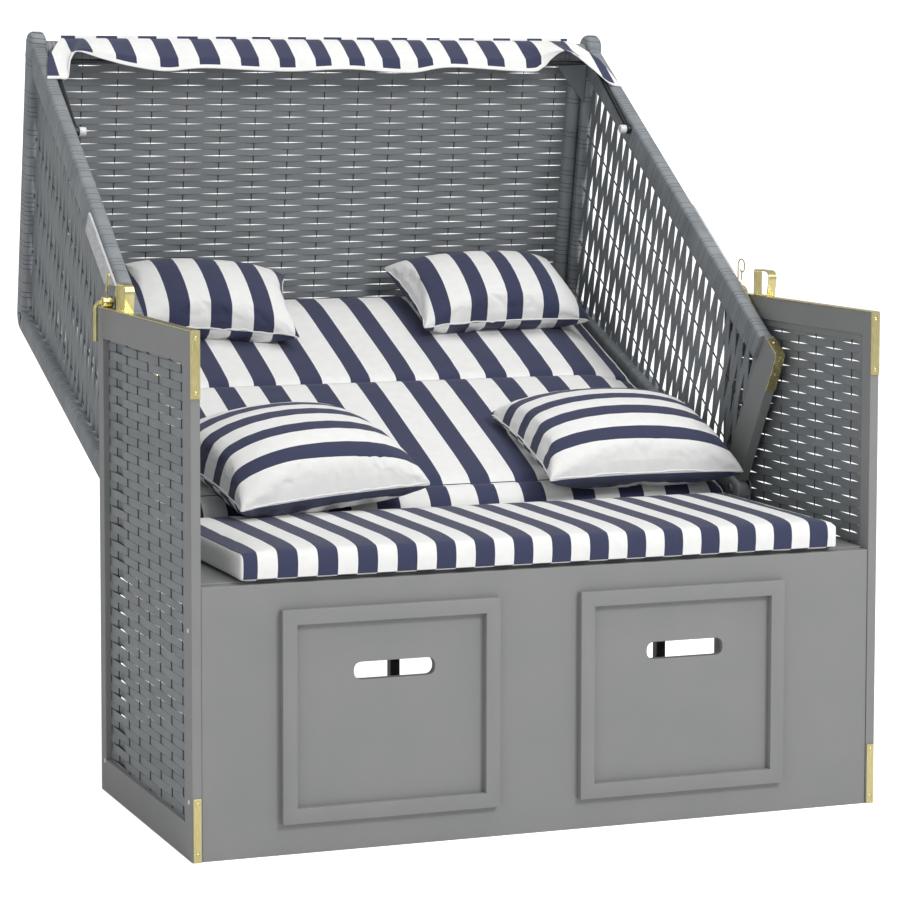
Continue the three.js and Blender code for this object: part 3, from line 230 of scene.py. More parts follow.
def scaled(tree, vector, factor):
    inputs = {0: vector, "Scale": factor}
    return place(tree, "ShaderNodeVectorMath", inputs, operation="SCALE").outputs["Vector"]


def axesOf(tree, vector):
    return place(tree, "ShaderNodeSeparateXYZ", {0: vector}).outputs


def newGroup(name, inputs):
    # An input's kind follows from its starting value, and None stands for a material
    kinds = {float: "Float", int: "Int", tuple: "Vector", type(None): "Material"}
    tree = bpy.data.node_groups.new(name, "GeometryNodeTree")
    add = tree.interface.new_socket
    add("Geometry", in_out="INPUT", socket_type="NodeSocketGeometry")
    for label, value in inputs.items():
        socket = add(label, in_out="INPUT", socket_type="NodeSocket" + kinds[type(value)])
        if value is not None:
            socket.default_value = value
    add("Geometry", in_out="OUTPUT", socket_type="NodeSocketGeometry")
    return tree, tree.nodes.new("NodeGroupInput").outputs


def endGroup(tree, geometry, material=None):
    last = place(tree, "GeometryNodeRealizeInstances", {"Geometry": geometry}).outputs[0]
    if material is not None:
        last = place(tree, "GeometryNodeSetMaterial", {"Geometry": last, "Material": material}).outputs[0]
    tree.links.new(last, tree.nodes.new("NodeGroupOutput").inputs[0])
    return tree


def runGroup(piece, tree, values):
    # Inputs go in by their identifiers, before the piece is first evaluated
    modifier = piece.modifiers.new(tree.name, "NODES")
    modifier.node_group = tree
    for item in tree.interface.items_tree:
        if item.in_out == "INPUT" and item.name in values:
            modifier[item.identifier] = values[item.name]
    return bakeModifiers(piece)


def colour(red, green, blue):
    def linear(value):
        value /= 255
        return value / 12.92 if value <= 0.04045 else ((value + 0.055) / 1.055) ** 2.4
    return (linear(red), linear(green), linear(blue), 1)


def newMaterial(name, **values):
    material = bpy.data.materials.new(name)
    material.use_nodes = True
    tree = material.node_tree
    shader = tree.nodes["Principled BSDF"]
    for key, value in values.items():
        shader.inputs[key.replace("_", " ")].default_value = value
    return material, tree, shader


def placeOn(tree):
    return place(tree, "ShaderNodeTexCoord").outputs["Object"]


def attributeOn(tree, name):
    return place(tree, "ShaderNodeAttribute", attribute_name=name).outputs["Fac"]


def randomOf(tree, value):
    return place(tree, "ShaderNodeTexWhiteNoise", {"W": value}, noise_dimensions="1D").outputs["Value"]


def stretched(tree, coordinates, scale):
    return place(tree, "ShaderNodeMapping", {"Vector": coordinates, "Scale": scale}).outputs["Vector"]


def noiseOn(tree, coordinates, scale, detail):
    inputs = {"Vector": coordinates, "Scale": scale, "Detail": detail}
    return place(tree, "ShaderNodeTexNoise", inputs).outputs["Fac"]


def ramp(tree, factor, stops, steps="LINEAR"):
    node = place(tree, "ShaderNodeValToRGB", {"Fac": factor})
    node.color_ramp.interpolation = steps
    elements = node.color_ramp.elements
    elements[0].position = stops[0][0]
    elements[0].color = stops[0][1]
    elements[1].position = stops[-1][0]
    elements[1].color = stops[-1][1]
    for position, shade in stops[1:-1]:
        elements.new(position).color = shade
    return node.outputs["Color"]


def blendColours(tree, factor, first, second):
    inputs = {0: factor, 6: first, 7: second}
    return place(tree, "ShaderNodeMix", inputs, data_type="RGBA").outputs[2]


def bumpFrom(tree, shader, height, depth, strength):
    inputs = {"Height": height, "Distance": depth * mm, "Strength": strength}
    bump = place(tree, "ShaderNodeBump", inputs)
    tree.links.new(bump.outputs["Normal"], shader.inputs["Normal"])


def shadeBetween(tree, shader, factor, dark, light, stops=(0.3, 0.7)):
    shade = ramp(tree, factor, [(stops[0], colour(*dark)), (stops[1], colour(*light))])
    tree.links.new(shade, shader.inputs["Base Color"])


def roughBetween(tree, shader, factor, low, high):
    rough = place(tree, "ShaderNodeMapRange", {"Value": factor, "To Min": low, "To Max": high})
    tree.links.new(rough.outputs[0], shader.inputs["Roughness"])


# Painted wood: satin grey, grain faintly raised, paint a little uneven
paintValues = {"light": (139, 140, 139), "dark": (135, 136, 136), "roughness": (0.4, 0.55),
    "grain": (14, 160, 160), "grainDepth": 0.08}


def makePaint():
    material, tree, shader = newMaterial("paintedWood")
    spot = placeOn(tree)
    shadeBetween(tree, shader, noiseOn(tree, spot, 9, 3), paintValues["dark"], paintValues["light"])
    grain = noiseOn(tree, stretched(tree, spot, paintValues["grain"]), 4, 4)
    roughBetween(tree, shader, grain, *paintValues["roughness"])
    bumpFrom(tree, shader, grain, paintValues["grainDepth"], 0.5)
    return material


# Cane strand: grey-blue, a little uneven, with a shade of its own for each strand. The stakes get a much
# darker copy of it: painted shade where they show between the strands
caneValues = {"light": (136, 141, 144), "dark": (114, 119, 122), "roughness": 0.42, "depth": 0.15,
    "stakeShadeLight": (58, 61, 64), "stakeShadeDark": (44, 47, 50)}


def makeCane(name, light, dark):
    material, tree, shader = newMaterial(name, Roughness=caneValues["roughness"])
    cloud = noiseOn(tree, placeOn(tree), 22, 3)
    own = randomOf(tree, attributeOn(tree, "strand"))
    factor = maths(tree, "MULTIPLY_ADD", own, 0.5, maths(tree, "MULTIPLY", cloud, 0.5))
    shadeBetween(tree, shader, factor, dark, light, (0.1, 0.9))
    bumpFrom(tree, shader, cloud, caneValues["depth"], 0.6)
    return material


# Wrapped rail: strips wound round it, with thin lines of painted shade where their edges lift
wrapValues = {"strip": 8.5, "slant": 0.06, "waver": 6.0, "lineShare": 0.13, "lineChance": 0.5,
    "lineTone": 0.85, "lineDepth": 0.8, "light": (146, 151, 155), "dark": (124, 129, 133),
    "line": (50, 53, 56)}


def makeWrap():
    material, tree, shader = newMaterial("wrappedRail", Roughness=0.5)
    spot = placeOn(tree)
    w = wrapValues
    slanted = maths(tree, "MULTIPLY_ADD", axesOf(tree, spot)["X"], w["slant"] / mm, attributeOn(tree, "path"))
    run = maths(tree, "MULTIPLY_ADD", noiseOn(tree, spot, 6, 1), w["waver"], slanted)
    turns = maths(tree, "DIVIDE", run, w["strip"])
    strip = maths(tree, "FLOOR", turns)
    share = maths(tree, "FRACT", turns)
    drawn = maths(tree, "LESS_THAN", randomOf(tree, strip), w["lineChance"])
    line = maths(tree, "MULTIPLY", maths(tree, "LESS_THAN", share, w["lineShare"]), drawn)
    body = ramp(tree, noiseOn(tree, spot, 14, 3), [(0.3, colour(*w["dark"])), (0.7, colour(*w["light"]))])
    # The dark line colour is painted shade in the step between strips
    shade = blendColours(tree, maths(tree, "MULTIPLY", line, w["lineTone"]), body, colour(*w["line"]))
    tree.links.new(shade, shader.inputs["Base Color"])
    # Each strip rises towards its far edge and drops into the line, with fine fibres on top
    lift = maths(tree, "MULTIPLY_ADD", share, 0.6, maths(tree, "MULTIPLY", line, -0.8))
    fibres = noiseOn(tree, stretched(tree, spot, (40, 300, 300)), 5, 2)
    bumpFrom(tree, shader, maths(tree, "MULTIPLY_ADD", fibres, 0.2, lift), w["lineDepth"], 0.6)
    return material


def makePaleWood():
    material, tree, shader = newMaterial("paleWood", Roughness=0.5)
    grain = noiseOn(tree, stretched(tree, placeOn(tree), (200, 12, 40)), 3, 4)
    shadeBetween(tree, shader, grain, (186, 189, 192), (212, 214, 216))
    bumpFrom(tree, shader, grain, 0.15, 0.5)
    return material


def makeMetal(name, light, dark, roughness):
    material, tree, shader = newMaterial(name, Metallic=1.0)
    streak = noiseOn(tree, stretched(tree, placeOn(tree), (300, 20, 20)), 3, 3)
    shadeBetween(tree, shader, streak, dark, light)
    roughBetween(tree, shader, streak, roughness - 0.05, roughness + 0.08)
    bumpFrom(tree, shader, streak, 0.05, 0.4)
    return material


def makePlastic(name, light, dark, roughness):
    material, tree, shader = newMaterial(name, Roughness=roughness)
    cloud = noiseOn(tree, placeOn(tree), 120, 3)
    shadeBetween(tree, shader, cloud, dark, light)
    bumpFrom(tree, shader, cloud, 0.1, 0.4)
    return material


# Canvas: off-white with navy stripes over a fine linen weave
canvasValues = {"white": (243, 243, 241), "navy": (52, 57, 87), "thread": 0.55, "threadDepth": 0.36,
    "uneven": (0.94, 0.12), "rampStripes": 12}


def stripeMask(tree, coordinate, stripes, low, high):
    # The coordinate runs in metres, the stripes in millimetres between low and high. A colour ramp
    # holds 32 stops, so the stripes are shared out over several and added up
    span = high - low
    factor = place(tree, "ShaderNodeMapRange", {
        "Value": coordinate, "From Min": low * mm, "From Max": high * mm}).outputs[0]
    total = None
    for first in range(0, len(stripes), canvasValues["rampStripes"]):
        stops = [(0.0, (0, 0, 0, 1))]
        for start, end in stripes[first:first + canvasValues["rampStripes"]]:
            stops.append((max((start - low) / span, 0.0), (1, 1, 1, 1)))
            stops.append((min((end - low) / span, 1.0), (0, 0, 0, 1)))
        shade = ramp(tree, factor, stops, "CONSTANT")
        total = maths(tree, "ADD", total, shade) if total else shade
    return total


def evenStripes(tree, coordinate, start, period, width):
    moved = maths(tree, "SUBTRACT", coordinate, start * mm)
    turns = maths(tree, "FRACT", maths(tree, "DIVIDE", moved, period * mm))
    return maths(tree, "LESS_THAN", turns, width / period)


def makeCanvas(name, mask):
    material, tree, shader = newMaterial(name, Roughness=0.85, Sheen_Weight=0.15)
    spot = placeOn(tree)
    white, navy = colour(*canvasValues["white"]), colour(*canvasValues["navy"])
    colours = blendColours(tree, mask(tree, spot), white, navy)
    turn = 2 * pi / (canvasValues["thread"] * mm)
    axes = axesOf(tree, spot)
    warp = maths(tree, "SINE", maths(tree, "MULTIPLY", axes["X"], turn))
    weft = maths(tree, "SINE", maths(tree, "MULTIPLY", maths(tree, "ADD", axes["Y"], axes["Z"]), turn))
    soft = noiseOn(tree, spot, 60, 3)
    height = maths(tree, "MULTIPLY_ADD", maths(tree, "MULTIPLY", warp, weft), 0.2, soft)
    bumpFrom(tree, shader, height, canvasValues["threadDepth"], 0.5)
    least, extra = canvasValues["uneven"]
    shade = scaled(tree, colours, maths(tree, "MULTIPLY_ADD", soft, extra, least))
    tree.links.new(shade, shader.inputs["Base Color"])
    return material


paint = makePaint()
cane = makeCane("cane", caneValues["light"], caneValues["dark"])
# Stakes: the cane made much darker, painted shade for the gaps where stakes show between strands
shadedStakeCane = makeCane("shadedStakeCane", caneValues["stakeShadeLight"], caneValues["stakeShadeDark"])
wrap = makeWrap()
paleWood = makePaleWood()
brass = makeMetal("brass", (230, 220, 168), (212, 198, 134), 0.24)
steel = makeMetal("steel", (190, 192, 196), (160, 162, 166), 0.3)
blackSteel = makePlastic("blackSteel", (30, 31, 33), (22, 23, 25), 0.35)
palePlastic = makePlastic("palePlastic", (232, 232, 230), (220, 220, 218), 0.35)
print("materials ready")


# Carried-over solids, each with its edges rounded by a width in millimetres

def paired(*nodes):
    return [f"{node}_{side}" for node in nodes for side in ("left", "right")]


softened = [
    ("painted_wood", paint, 1.2, ["front_panel", "seat_board", "rear_beam", "floor_beam"]),
    ("painted_wood", paint, 1.0, paired("wall_frame", "footrest_front", "footrest_platform",
        "footrest_legs", "footrest_runner", "cheek")),
    ("pale_wood", paleWood, 0.8, paired("side_slat")),
    ("brass", brass, 0.5, paired("wall_fitting", "foot_plate", "lock_pin", "lock_clip", "cheek_strap",
        "slat_strap")),
    ("steel", steel, 0.6, paired("pivot_bolt", "pivot_plate")),
    ("pale_plastic", palePlastic, 1.6, paired("awning_knob")),
    ("painted_wood", paint, 0.8, ["hood_lower_slat"]),
    ("black_steel", blackSteel, 0.3, ["awning_bow"]),
]


def addSoftened(slot, material, width, nodes):
    for node in nodes:
        piece = copyOf(node, pieceName(node))
        piece.data.materials.append(material)
        modify(piece, "BEVEL", width=width * mm, segments=2, limit_method="ANGLE", angle_limit=radians(35))
        smoothen(piece.data, 35)
        # Large faces keep their own normals, so flat boards stay evenly shaded up to the rounded edge
        modify(piece, "WEIGHTED_NORMAL", keep_sharp=True, weight=90)
        settle(piece, bodyOf(node), node)


for row in softened:
    addSoftened(*row)
print("solids softened")


# Weaves: guide lines clipped to each panel, which Geometry Nodes bends apart and sweeps
weaveShape = {"strandRounding": 0.42, "roundingSteps": 1, "stakeSides": 8, "firstStakeNumber": 1000}


def makeWeaveTree():
    tree, start = newGroup("wovenPanel", {"Width": 0.014, "Thickness": 0.0013, "Spread": 0.006,
        "Relief": 0.0027, "Stake": 0.004, "Variation": 0.2, "Across": (0, 0, 1), "Normal": (1, 0, 0),
        "Seed": 3, "Strand Material": None, "Stake Material": None})
    phase, strand, kind = (place(tree, "GeometryNodeInputNamedAttribute", {"Name": label},
        data_type="FLOAT").outputs["Attribute"] for label in ("phase", "strand", "stake"))
    # Neighbouring strands swing to opposite sides of the stakes, each swing a little different
    swing = maths(tree, "PINGPONG", maths(tree, "ADD", phase, strand), 1.0)
    wave = maths(tree, "MULTIPLY_ADD", swing, -2.0, 1.0)
    cell = place(tree, "ShaderNodeCombineXYZ", {"X": maths(tree, "ROUND", phase), "Y": strand,
        "Z": start["Seed"]})
    random = place(tree, "ShaderNodeTexWhiteNoise", {"Vector": cell.outputs[0]},
        noise_dimensions="3D").outputs["Value"]
    vary = maths(tree, "MULTIPLY_ADD", maths(tree, "SUBTRACT", random, 0.5),
        maths(tree, "MULTIPLY", start["Variation"], 2.0), 1.0)
    bend = maths(tree, "MULTIPLY", wave, maths(tree, "SUBTRACT", 1.0, kind))
    slide = maths(tree, "MULTIPLY", maths(tree, "MULTIPLY", bend, vary), start["Spread"])
    rise = maths(tree, "MULTIPLY", bend, start["Relief"])
    offset = vectorMaths(tree, "ADD", scaled(tree, start["Across"], slide),
        scaled(tree, start["Normal"], rise))
    moved = place(tree, "GeometryNodeSetPosition", {"Geometry": start["Geometry"], "Offset": offset})
    parts = place(tree, "GeometryNodeSeparateGeometry", {
        "Geometry": moved.outputs[0], "Selection": maths(tree, "GREATER_THAN", kind, 0.5)}, domain="POINT")
    flat = place(tree, "GeometryNodeCurvePrimitiveQuadrilateral", {
        "Width": start["Thickness"], "Height": start["Width"]}, mode="RECTANGLE").outputs[0]
    rounding = maths(tree, "MULTIPLY", start["Thickness"], weaveShape["strandRounding"])
    flat = place(tree, "GeometryNodeFilletCurve", {
        "Curve": flat, "Radius": rounding, "Count": weaveShape["roundingSteps"]}, mode="POLY").outputs[0]
    rod = place(tree, "GeometryNodeCurvePrimitiveCircle", {"Resolution": weaveShape["stakeSides"],
        "Radius": maths(tree, "MULTIPLY", start["Stake"], 0.5)}).outputs["Curve"]
    joined = tree.nodes.new("GeometryNodeJoinGeometry")
    for guide, profile, label in ((parts.outputs["Selection"], rod, "Stake Material"),
            (parts.outputs["Inverted"], flat, "Strand Material")):
        curve = place(tree, "GeometryNodeMeshToCurve", {"Mesh": guide}).outputs[0]
        curve = place(tree, "GeometryNodeSetCurveNormal", {"Curve": curve}, mode="FREE")
        tree.links.new(start["Normal"], curve.inputs["Normal"])
        tube = place(tree, "GeometryNodeCurveToMesh", {
            "Curve": curve.outputs[0], "Profile Curve": profile, "Fill Caps": True}).outputs[0]
        part = place(tree, "GeometryNodeSetMaterial", {"Geometry": tube, "Material": start[label]})
        tree.links.new(part.outputs[0], joined.inputs[0])
    return endGroup(tree, joined.outputs[0])


weaveTree = makeWeaveTree()


def clipLine(outline, level):
    # Stretches of the line v = level inside an outline of (u, v) points
    crossings = []
    for i, (u, v) in enumerate(outline):
        nextU, nextV = outline[(i + 1) % len(outline)]
        if (v <= level) != (nextV <= level):
            crossings.append(u + (nextU - u) * (level - v) / (nextV - v))
    crossings.sort()
    return list(zip(crossings[::2], crossings[1::2]))


def polyline(lines, points, phases, strand, isStake):
    first = len(lines["points"])
    lines["points"] += points
    lines["edges"] += [(first + i, first + i + 1) for i in range(len(points) - 1)]
    lines["phase"] += phases
    lines["strand"] += [strand] * len(points)
    lines["stake"] += [isStake] * len(points)


# Between two stakes a strand has a point at these eighths of the way
strandMarks = (0, 1, 2, 4, 6, 7)


def weavePanel(name, node, body, values, panel):
    # panel: origin, along (the strands' way), over (from strand to strand), normal, outline in (u, v),
    # firstStrand, stakeSpacing, firstStake, lean (stakes' slope in u for each v), drift off the plane
    lines = {"points": [], "edges": [], "phase": [], "strand": [], "stake": []}
    origin, along, over, normal = (Vector(panel[key]) for key in ("origin", "along", "over", "normal"))
    outline, spacing, firstStake = panel["outline"], panel["stakeSpacing"], panel["firstStake"]
    lean = panel.get("lean", 0.0)
    drift = panel.get("drift", lambda u, v, strand: 0.0)
    lowU, highU = min(u for u, v in outline), max(u for u, v in outline)
    lowV, highV = min(v for u, v in outline), max(v for u, v in outline)

    def at(u, v, strand=0):
        return origin + along * u + over * v + normal * drift(u, v, strand)

    for n in range(int((highV - lowV) / values["pitch"]) + 1):
        v = lowV + panel["firstStrand"] + n * values["pitch"]
        start = firstStake + lean * v
        for low, high in clipLine(outline, v):
            if high - low <= values["pitch"]:
                continue
            marks = [low]
            step = floor((low - start) / spacing * 8) + 1
            while step / 8 * spacing + start < high:
                if step % 8 in strandMarks:
                    marks.append(step / 8 * spacing + start)
                step += 1
            marks.append(high)
            polyline(lines, [at(u, v, n) for u in marks], [(u - start) / spacing for u in marks], n, 0.0)
    turned = [(v, u - lean * v) for u, v in outline]
    swing = abs(lean) * (highV - lowV)
    j = floor((lowU - swing - firstStake) / spacing)
    while j * spacing + firstStake < highU + swing:
        level = j * spacing + firstStake
        for low, high in clipLine(turned, level):
            number = weaveShape["firstStakeNumber"] + j
            polyline(lines, [at(level + lean * v, v) for v in (low, high)], [0.0, 0.0], number, 1.0)
        j += 1
    mesh = buildMesh(name, lines["points"], [], lines["edges"])
    for label in ("phase", "strand", "stake"):
        giveAttribute(mesh, label, lines[label])
    piece = addObject(name, mesh)
    inputs = {"Variation": values["variation"], "Across": tuple(over), "Normal": tuple(normal),
        "Seed": panel["seed"], "Strand Material": cane, "Stake Material": shadedStakeCane}
    for key in ("width", "thickness", "spread", "relief", "stake"):
        inputs[key.capitalize()] = values[key] * mm
    runGroup(piece, weaveTree, inputs)
    smoothen(piece.data, 30)
    settle(piece, body, node)
    print(name, len(piece.data.polygons), "faces")


sideWeave = {"pitch": 15.2, "spacing": 98.0, "firstBelow": 59.0, "angle": 108.0, "tuck": 6.0,
    "cheekAngle": 120.6, "width": 14.4, "thickness": 1.3, "spread": 6.4, "relief": -0.9, "stake": 3.0,
    "variation": 0.4}


def hoodSideOutline(tuck):
    # Inner lines of the rails and the cheek's upper edge, with the strands' ends tucked under them
    front = (onFront(0, tuck - hood["frontDepth"]), hood["frontAngle"])
    back = (onBack(0, hood["backDepth"] - tuck), hood["backAngle"])
    roof = (onRoof(0, hood["roofDepth"] - tuck), hood["roofAngle"])
    cheek = (ahead(hood["nose"], hood["frontAngle"] - 90, hood["frontDepth"]), sideWeave["cheekAngle"])
    return [meet(*back, *roof), meet(*roof, *front), meet(*front, *cheek), meet(*cheek, *back)]


def addSideWeaves():
    s = sideWeave
    turn = radians(s["angle"])
    along = Vector((0, cos(turn), sin(turn)))
    over = Vector((0, sin(turn), -cos(turn)))
    nose = Vector(hood["nose"])
    flat = [Vector((0, *(corner - nose))) for corner in hoodSideOutline(s["tuck"])]
    outline = [(p.dot(along), p.dot(over)) for p in flat]
    # A stake lies at a fixed depth below the front rail's outer line
    down = Vector((0, *ahead((0, 0), hood["frontAngle"] - 90, 1)))
    downU, downV = down.dot(along), down.dot(over)
    for side, sign in sides:
        weavePanel(f"hoodSideWeave{side}", f"hood_side_weave_{side.lower()}", "hood", s, {
            "origin": (sign * hood["weaveMiddle"], *nose), "along": along, "over": over,
            "normal": (sign, 0, 0), "outline": outline, "firstStrand": s["pitch"] / 2,
            "stakeSpacing": s["spacing"] / abs(downU), "firstStake": s["firstBelow"] / downU,
            "lean": -downV / downU, "seed": 5 + sign})


# Roof and back: gaps to the side rails, and where each weave starts and ends along its slope
flatWeave = {"pitch": 12.3, "spacing": 68.0, "firstStrand": 4.0, "firstStake": 10.0, "width": 12.2,
    "thickness": 1.3, "spread": 0.5, "relief": 1.7, "stake": 1.7, "variation": 0.4, "roofGap": 8.0,
    "roofEnds": (20.0, 24.0), "backGap": 2.0, "backRun": (48.0, 836.0), "backRise": 8.0}


def addFlatWeaves():
    f = flatWeave
    start, end = f["roofEnds"]
    roofRun = (start, (hoodCrown - hoodRear).length - end)
    panels = (
        ("hoodRoofWeave", None, onRoof(0, hood["roofDepth"] / 2), "roofAngle", f["roofGap"], roofRun, 11),
        ("hoodBackWeave", "hood_back_weave", onBack(0, f["backRise"]), "backAngle", f["backGap"],
            f["backRun"], 12),
    )
    for name, node, origin, angle, gap, (low, high), seed in panels:
        half = hood["crossHalf"] - gap
        weavePanel(name, node, "hood", f, {
            "origin": (0, *origin), "along": (1, 0, 0), "over": (0, *ahead((0, 0), hood[angle], 1)),
            "normal": (0, *ahead((0, 0), hood[angle] - 90, 1)),
            "outline": [(-half, low), (half, low), (half, high), (-half, high)],
            "firstStrand": f["firstStrand"], "stakeSpacing": f["spacing"], "firstStake": f["firstStake"],
            "seed": seed})


wallWeave = {"pitch": 14.4, "spacing": 64.0, "firstStake": 67.5, "middle": 581.5, "endX": 577.0,
    "endRun": 26.0, "edge": 3.0, "width": 14.25, "thickness": 1.2, "spread": 0.9, "relief": 1.0,
    "stake": 2.2, "variation": 0.5, "dip": 3.4, "dipStake": 6, "dipRun": 40.0}


def addWallWeaves():
    w = wallWeave
    low, high = boxOf("wall_weave_right")
    front, rear, top = low.y + w["edge"], high.y - w["edge"], high.z - w["edge"]

    def drift(u, v, strand):
        # The strands' ends run in to the rebate behind the board's window, and every second strand
        # passes well behind the rearmost stake
        near = min(u - low.y, high.y - u) / w["endRun"]
        ends = (w["endX"] - w["middle"]) * max(0.0, 1 - near)
        away = abs(u - w["firstStake"] - w["dipStake"] * w["spacing"]) / w["dipRun"]
        return ends - (strand % 2) * w["dip"] * max(0.0, 1 - away ** 4)

    for side, sign in sides:
        weavePanel(f"wallWeave{side}", f"wall_weave_{side.lower()}", "base", w, {
            "origin": (sign * w["middle"], 0, 0), "along": (0, 1, 0), "over": (0, 0, 1),
            "normal": (sign, 0, 0), "outline": [(front, low.z), (rear, low.z), (rear, top), (front, top)],
            "firstStrand": w["pitch"] / 2, "stakeSpacing": w["spacing"], "firstStake": w["firstStake"],
            "seed": 21 + sign, "drift": drift})


addSideWeaves()
addFlatWeaves()
addWallWeaves()
print("weaves ready")


# Wrapped rails, swept along their run with the distance kept for the wrap's lines

def roundedSection(halfX, halfDepth, corner, steps=3):
    points = []
    for quarter in range(4):
        signX = (1, -1, -1, 1)[quarter]
        signD = (1, 1, -1, -1)[quarter]
        for i in range(steps + 1):
            turn = radians(90 * quarter + 90 * i / steps)
            points.append((signX * (halfX - corner) + cos(turn) * corner,
                signD * (halfDepth - corner) + sin(turn) * corner))
    return points


def skinRings(name, rings, path, sharpAngle):
    # Rings of points joined into a closed rail, with the distance along it kept for the wrap's lines
    size = len(rings[0])
    points = [point for ring in rings for point in ring]
    ends = [tuple(reversed(range(size))), tuple(range(len(points) - size, len(points)))]
    mesh = buildMesh(name, points, quads(len(rings), size) + ends)
    giveAttribute(mesh, "path", [distance for distance in path for k in range(size)])
    faceOutward(mesh)
    smoothen(mesh, sharpAngle)
    return mesh


def sweepRail(name, stations):
    # Each station: middle (y, z), sideways direction (y, z), middle x, section, distance along the rail
    rings = [[(middleX + a, *(middle + across * b)) for a, b in section]
        for middle, across, middleX, section, distance in stations]
    return skinRings(name, rings, [station[-1] for station in stations], 40)


def joinMeshes(name, meshes, material):
    shape = bmesh.new()
    for mesh in meshes:
        shape.from_mesh(mesh)
    joined = bpy.data.meshes.new(name)
    joined.attributes.new("path", "FLOAT", "POINT")
    shape.to_mesh(joined)
    shape.free()
    return addObject(name, joined, material)


# Sweeping: rings on each stretch, how far the wrap is set in, the bare stretch above the heel, the
# rounding and least sizes of heel and dome, and the front rail's own distance and chamfered tip
railValues = {"rings": 8, "wrapInset": 1.0, "bareAt": 80.0, "bareGap": 4.0, "heelLeast": 2.0,
    "heelRounding": 0.8, "bendInside": 3.0, "domeLeast": 1.5, "domePower": 0.35, "domeNarrow": 0.3,
    "domeRounding": 0.9, "frontGap": 8.0, "frontStart": 3000.0, "tipNarrow": 3.0, "tipShallow": 5.0,
    "tipBevel": 5.0, "tipShort": 1.0, "tipDrop": 2.0}


def railStations(sign):
    r = railValues
    rings, bevel, bend = r["rings"], hood["bevel"], hood["corner"]
    backAngle, roofAngle = hood["backAngle"], hood["roofAngle"]
    middle = sign * (hood["inner"] + hood["outer"]) / 2
    half = (hood["outer"] - hood["inner"]) / 2
    wrapHalf = half + hood["wrapExtra"] / 2 + r["wrapInset"]
    wrapMiddle = middle + sign * (hood["wrapExtra"] / 2 - r["wrapInset"])
    back, roof, front = (ahead((0, 0), angle + 90, 1) for angle in (backAngle, roofAngle, hood["frontAngle"]))
    # The rounded heel, then the back rail, bare below and wrapped above
    depth = hood["backDepth"] / 2
    stations = []
    for i in range(rings + 1):
        turn = i / rings * pi / 2
        reach = depth * (1 - cos(turn))
        deep = max(depth * sin(turn), r["heelLeast"])
        section = roundedSection(half, deep, min(bevel, deep * r["heelRounding"]))
        stations.append((onBack(reach, depth), back, middle, section, reach))
    bare = roundedSection(half, depth, bevel)
    for distance in (r["bareAt"], hood["wrapStart"] - r["bareGap"]):
        stations.append((onBack(distance, depth), back, middle, bare, distance))
    wrapped = roundedSection(wrapHalf, depth, bevel)
    run = hood["backLength"] - bend
    for k in (0, *range(2, rings + 1)):
        distance = hood["wrapStart"] + (run - hood["wrapStart"]) * k / rings
        stations.append((onBack(distance, depth), back, wrapMiddle, wrapped, distance))
    # The bend into the roof rail, round outside and nearly sharp inside
    inside = meet(onBack(0, hood["backDepth"]), backAngle, onRoof(0, hood["roofDepth"]), roofAngle)
    centre = meet(onBack(0, bend), backAngle, onRoof(0, bend), roofAngle)
    for i in range(rings + 1):
        turn = backAngle - 90 + (roofAngle - backAngle) * i / rings
        outer = ahead(centre, turn, bend)
        inner = ahead(inside, turn, r["bendInside"])
        if i in (0, rings):
            inner = ahead(outer, turn + 180, hood["roofDepth" if i else "backDepth"])
        section = roundedSection(wrapHalf, (outer - inner).length / 2, bevel)
        distance = run + bend * radians(roofAngle - backAngle) * i / rings
        stations.append(((outer + inner) / 2, (inner - outer).normalized(), wrapMiddle, section, distance))
    # The roof rail up to its domed end
    deep = hood["roofDepth"] / 2
    top = (hoodCrown - hoodRear).length + hood["domeRise"]
    wrapped = roundedSection(wrapHalf, deep, bevel)
    turned = stations[-1][-1] - bend
    for k in range(1, rings + 1):
        distance = bend + (top - deep - bend) * k / rings
        stations.append((onRoof(distance, deep), roof, wrapMiddle, wrapped, turned + distance))
    for i in range(1, rings + 1):
        turn = i / rings * pi / 2
        reach = top - deep + deep * sin(turn)
        deepHere = max(deep * cos(turn), r["domeLeast"])
        halfHere = wrapHalf * max(cos(turn) ** r["domePower"], r["domeNarrow"])
        corner = min(bevel, deepHere * r["domeRounding"], halfHere * r["domeRounding"])
        section = roundedSection(halfHere, deepHere, corner)
        stations.append((onRoof(reach, deep), roof, wrapMiddle, section, turned + reach))
    # The front rail, with a chamfered end under the crown
    depth = hood["frontDepth"] / 2
    length = (hoodCrown - Vector(hood["nose"])).length
    bare = roundedSection(half, depth, bevel)
    tip = roundedSection(half - r["tipNarrow"], depth - r["tipShallow"], r["tipBevel"])
    frontRun = []
    for k in range(rings + 1):
        distance = (length - r["frontGap"]) * k / rings
        frontRun.append((onFront(distance, -depth), front, middle, bare, distance + r["frontStart"]))
    tipPlace = onFront(length - r["tipShort"], -depth - r["tipDrop"])
    frontRun.append((tipPlace, front, middle, tip, length + r["frontStart"]))
    return stations, frontRun


def addRails():
    for side, sign in sides:
        meshes = [sweepRail(f"rail{i}", run) for i, run in enumerate(railStations(sign))]
        piece = joinMeshes(f"hoodRail{side}", meshes, wrap)
        settle(piece, "hood", f"hood_frame_{side.lower()}")


def roundRun(name, start, end, radius, rings, sides, distanceStart):
    # A wrapped round rail between two 3-D points
    start, end = Vector(start), Vector(end)
    axis = (end - start).normalized()
    side = axis.orthogonal().normalized()
    other = axis.cross(side)
    length = (end - start).length
    turns = [2 * pi * k / sides for k in range(sides)]
    places = [length * i / rings for i in range(rings + 1)]
    points = [[start + axis * distance + (side * cos(turn) + other * sin(turn)) * radius for turn in turns]
        for distance in places]
    return skinRings(name, points, [distance + distanceStart for distance in places], 50)


# The rolls that edge the roof weave, and where the wrap's lines start on each round rail
rollValues = {"radius": 14.0, "lowEnd": 31.5, "highEnd": 38.0}
wrapStarts = {"crossRail": 5000, "rollMiddle": 7000, "rollStep": 900}


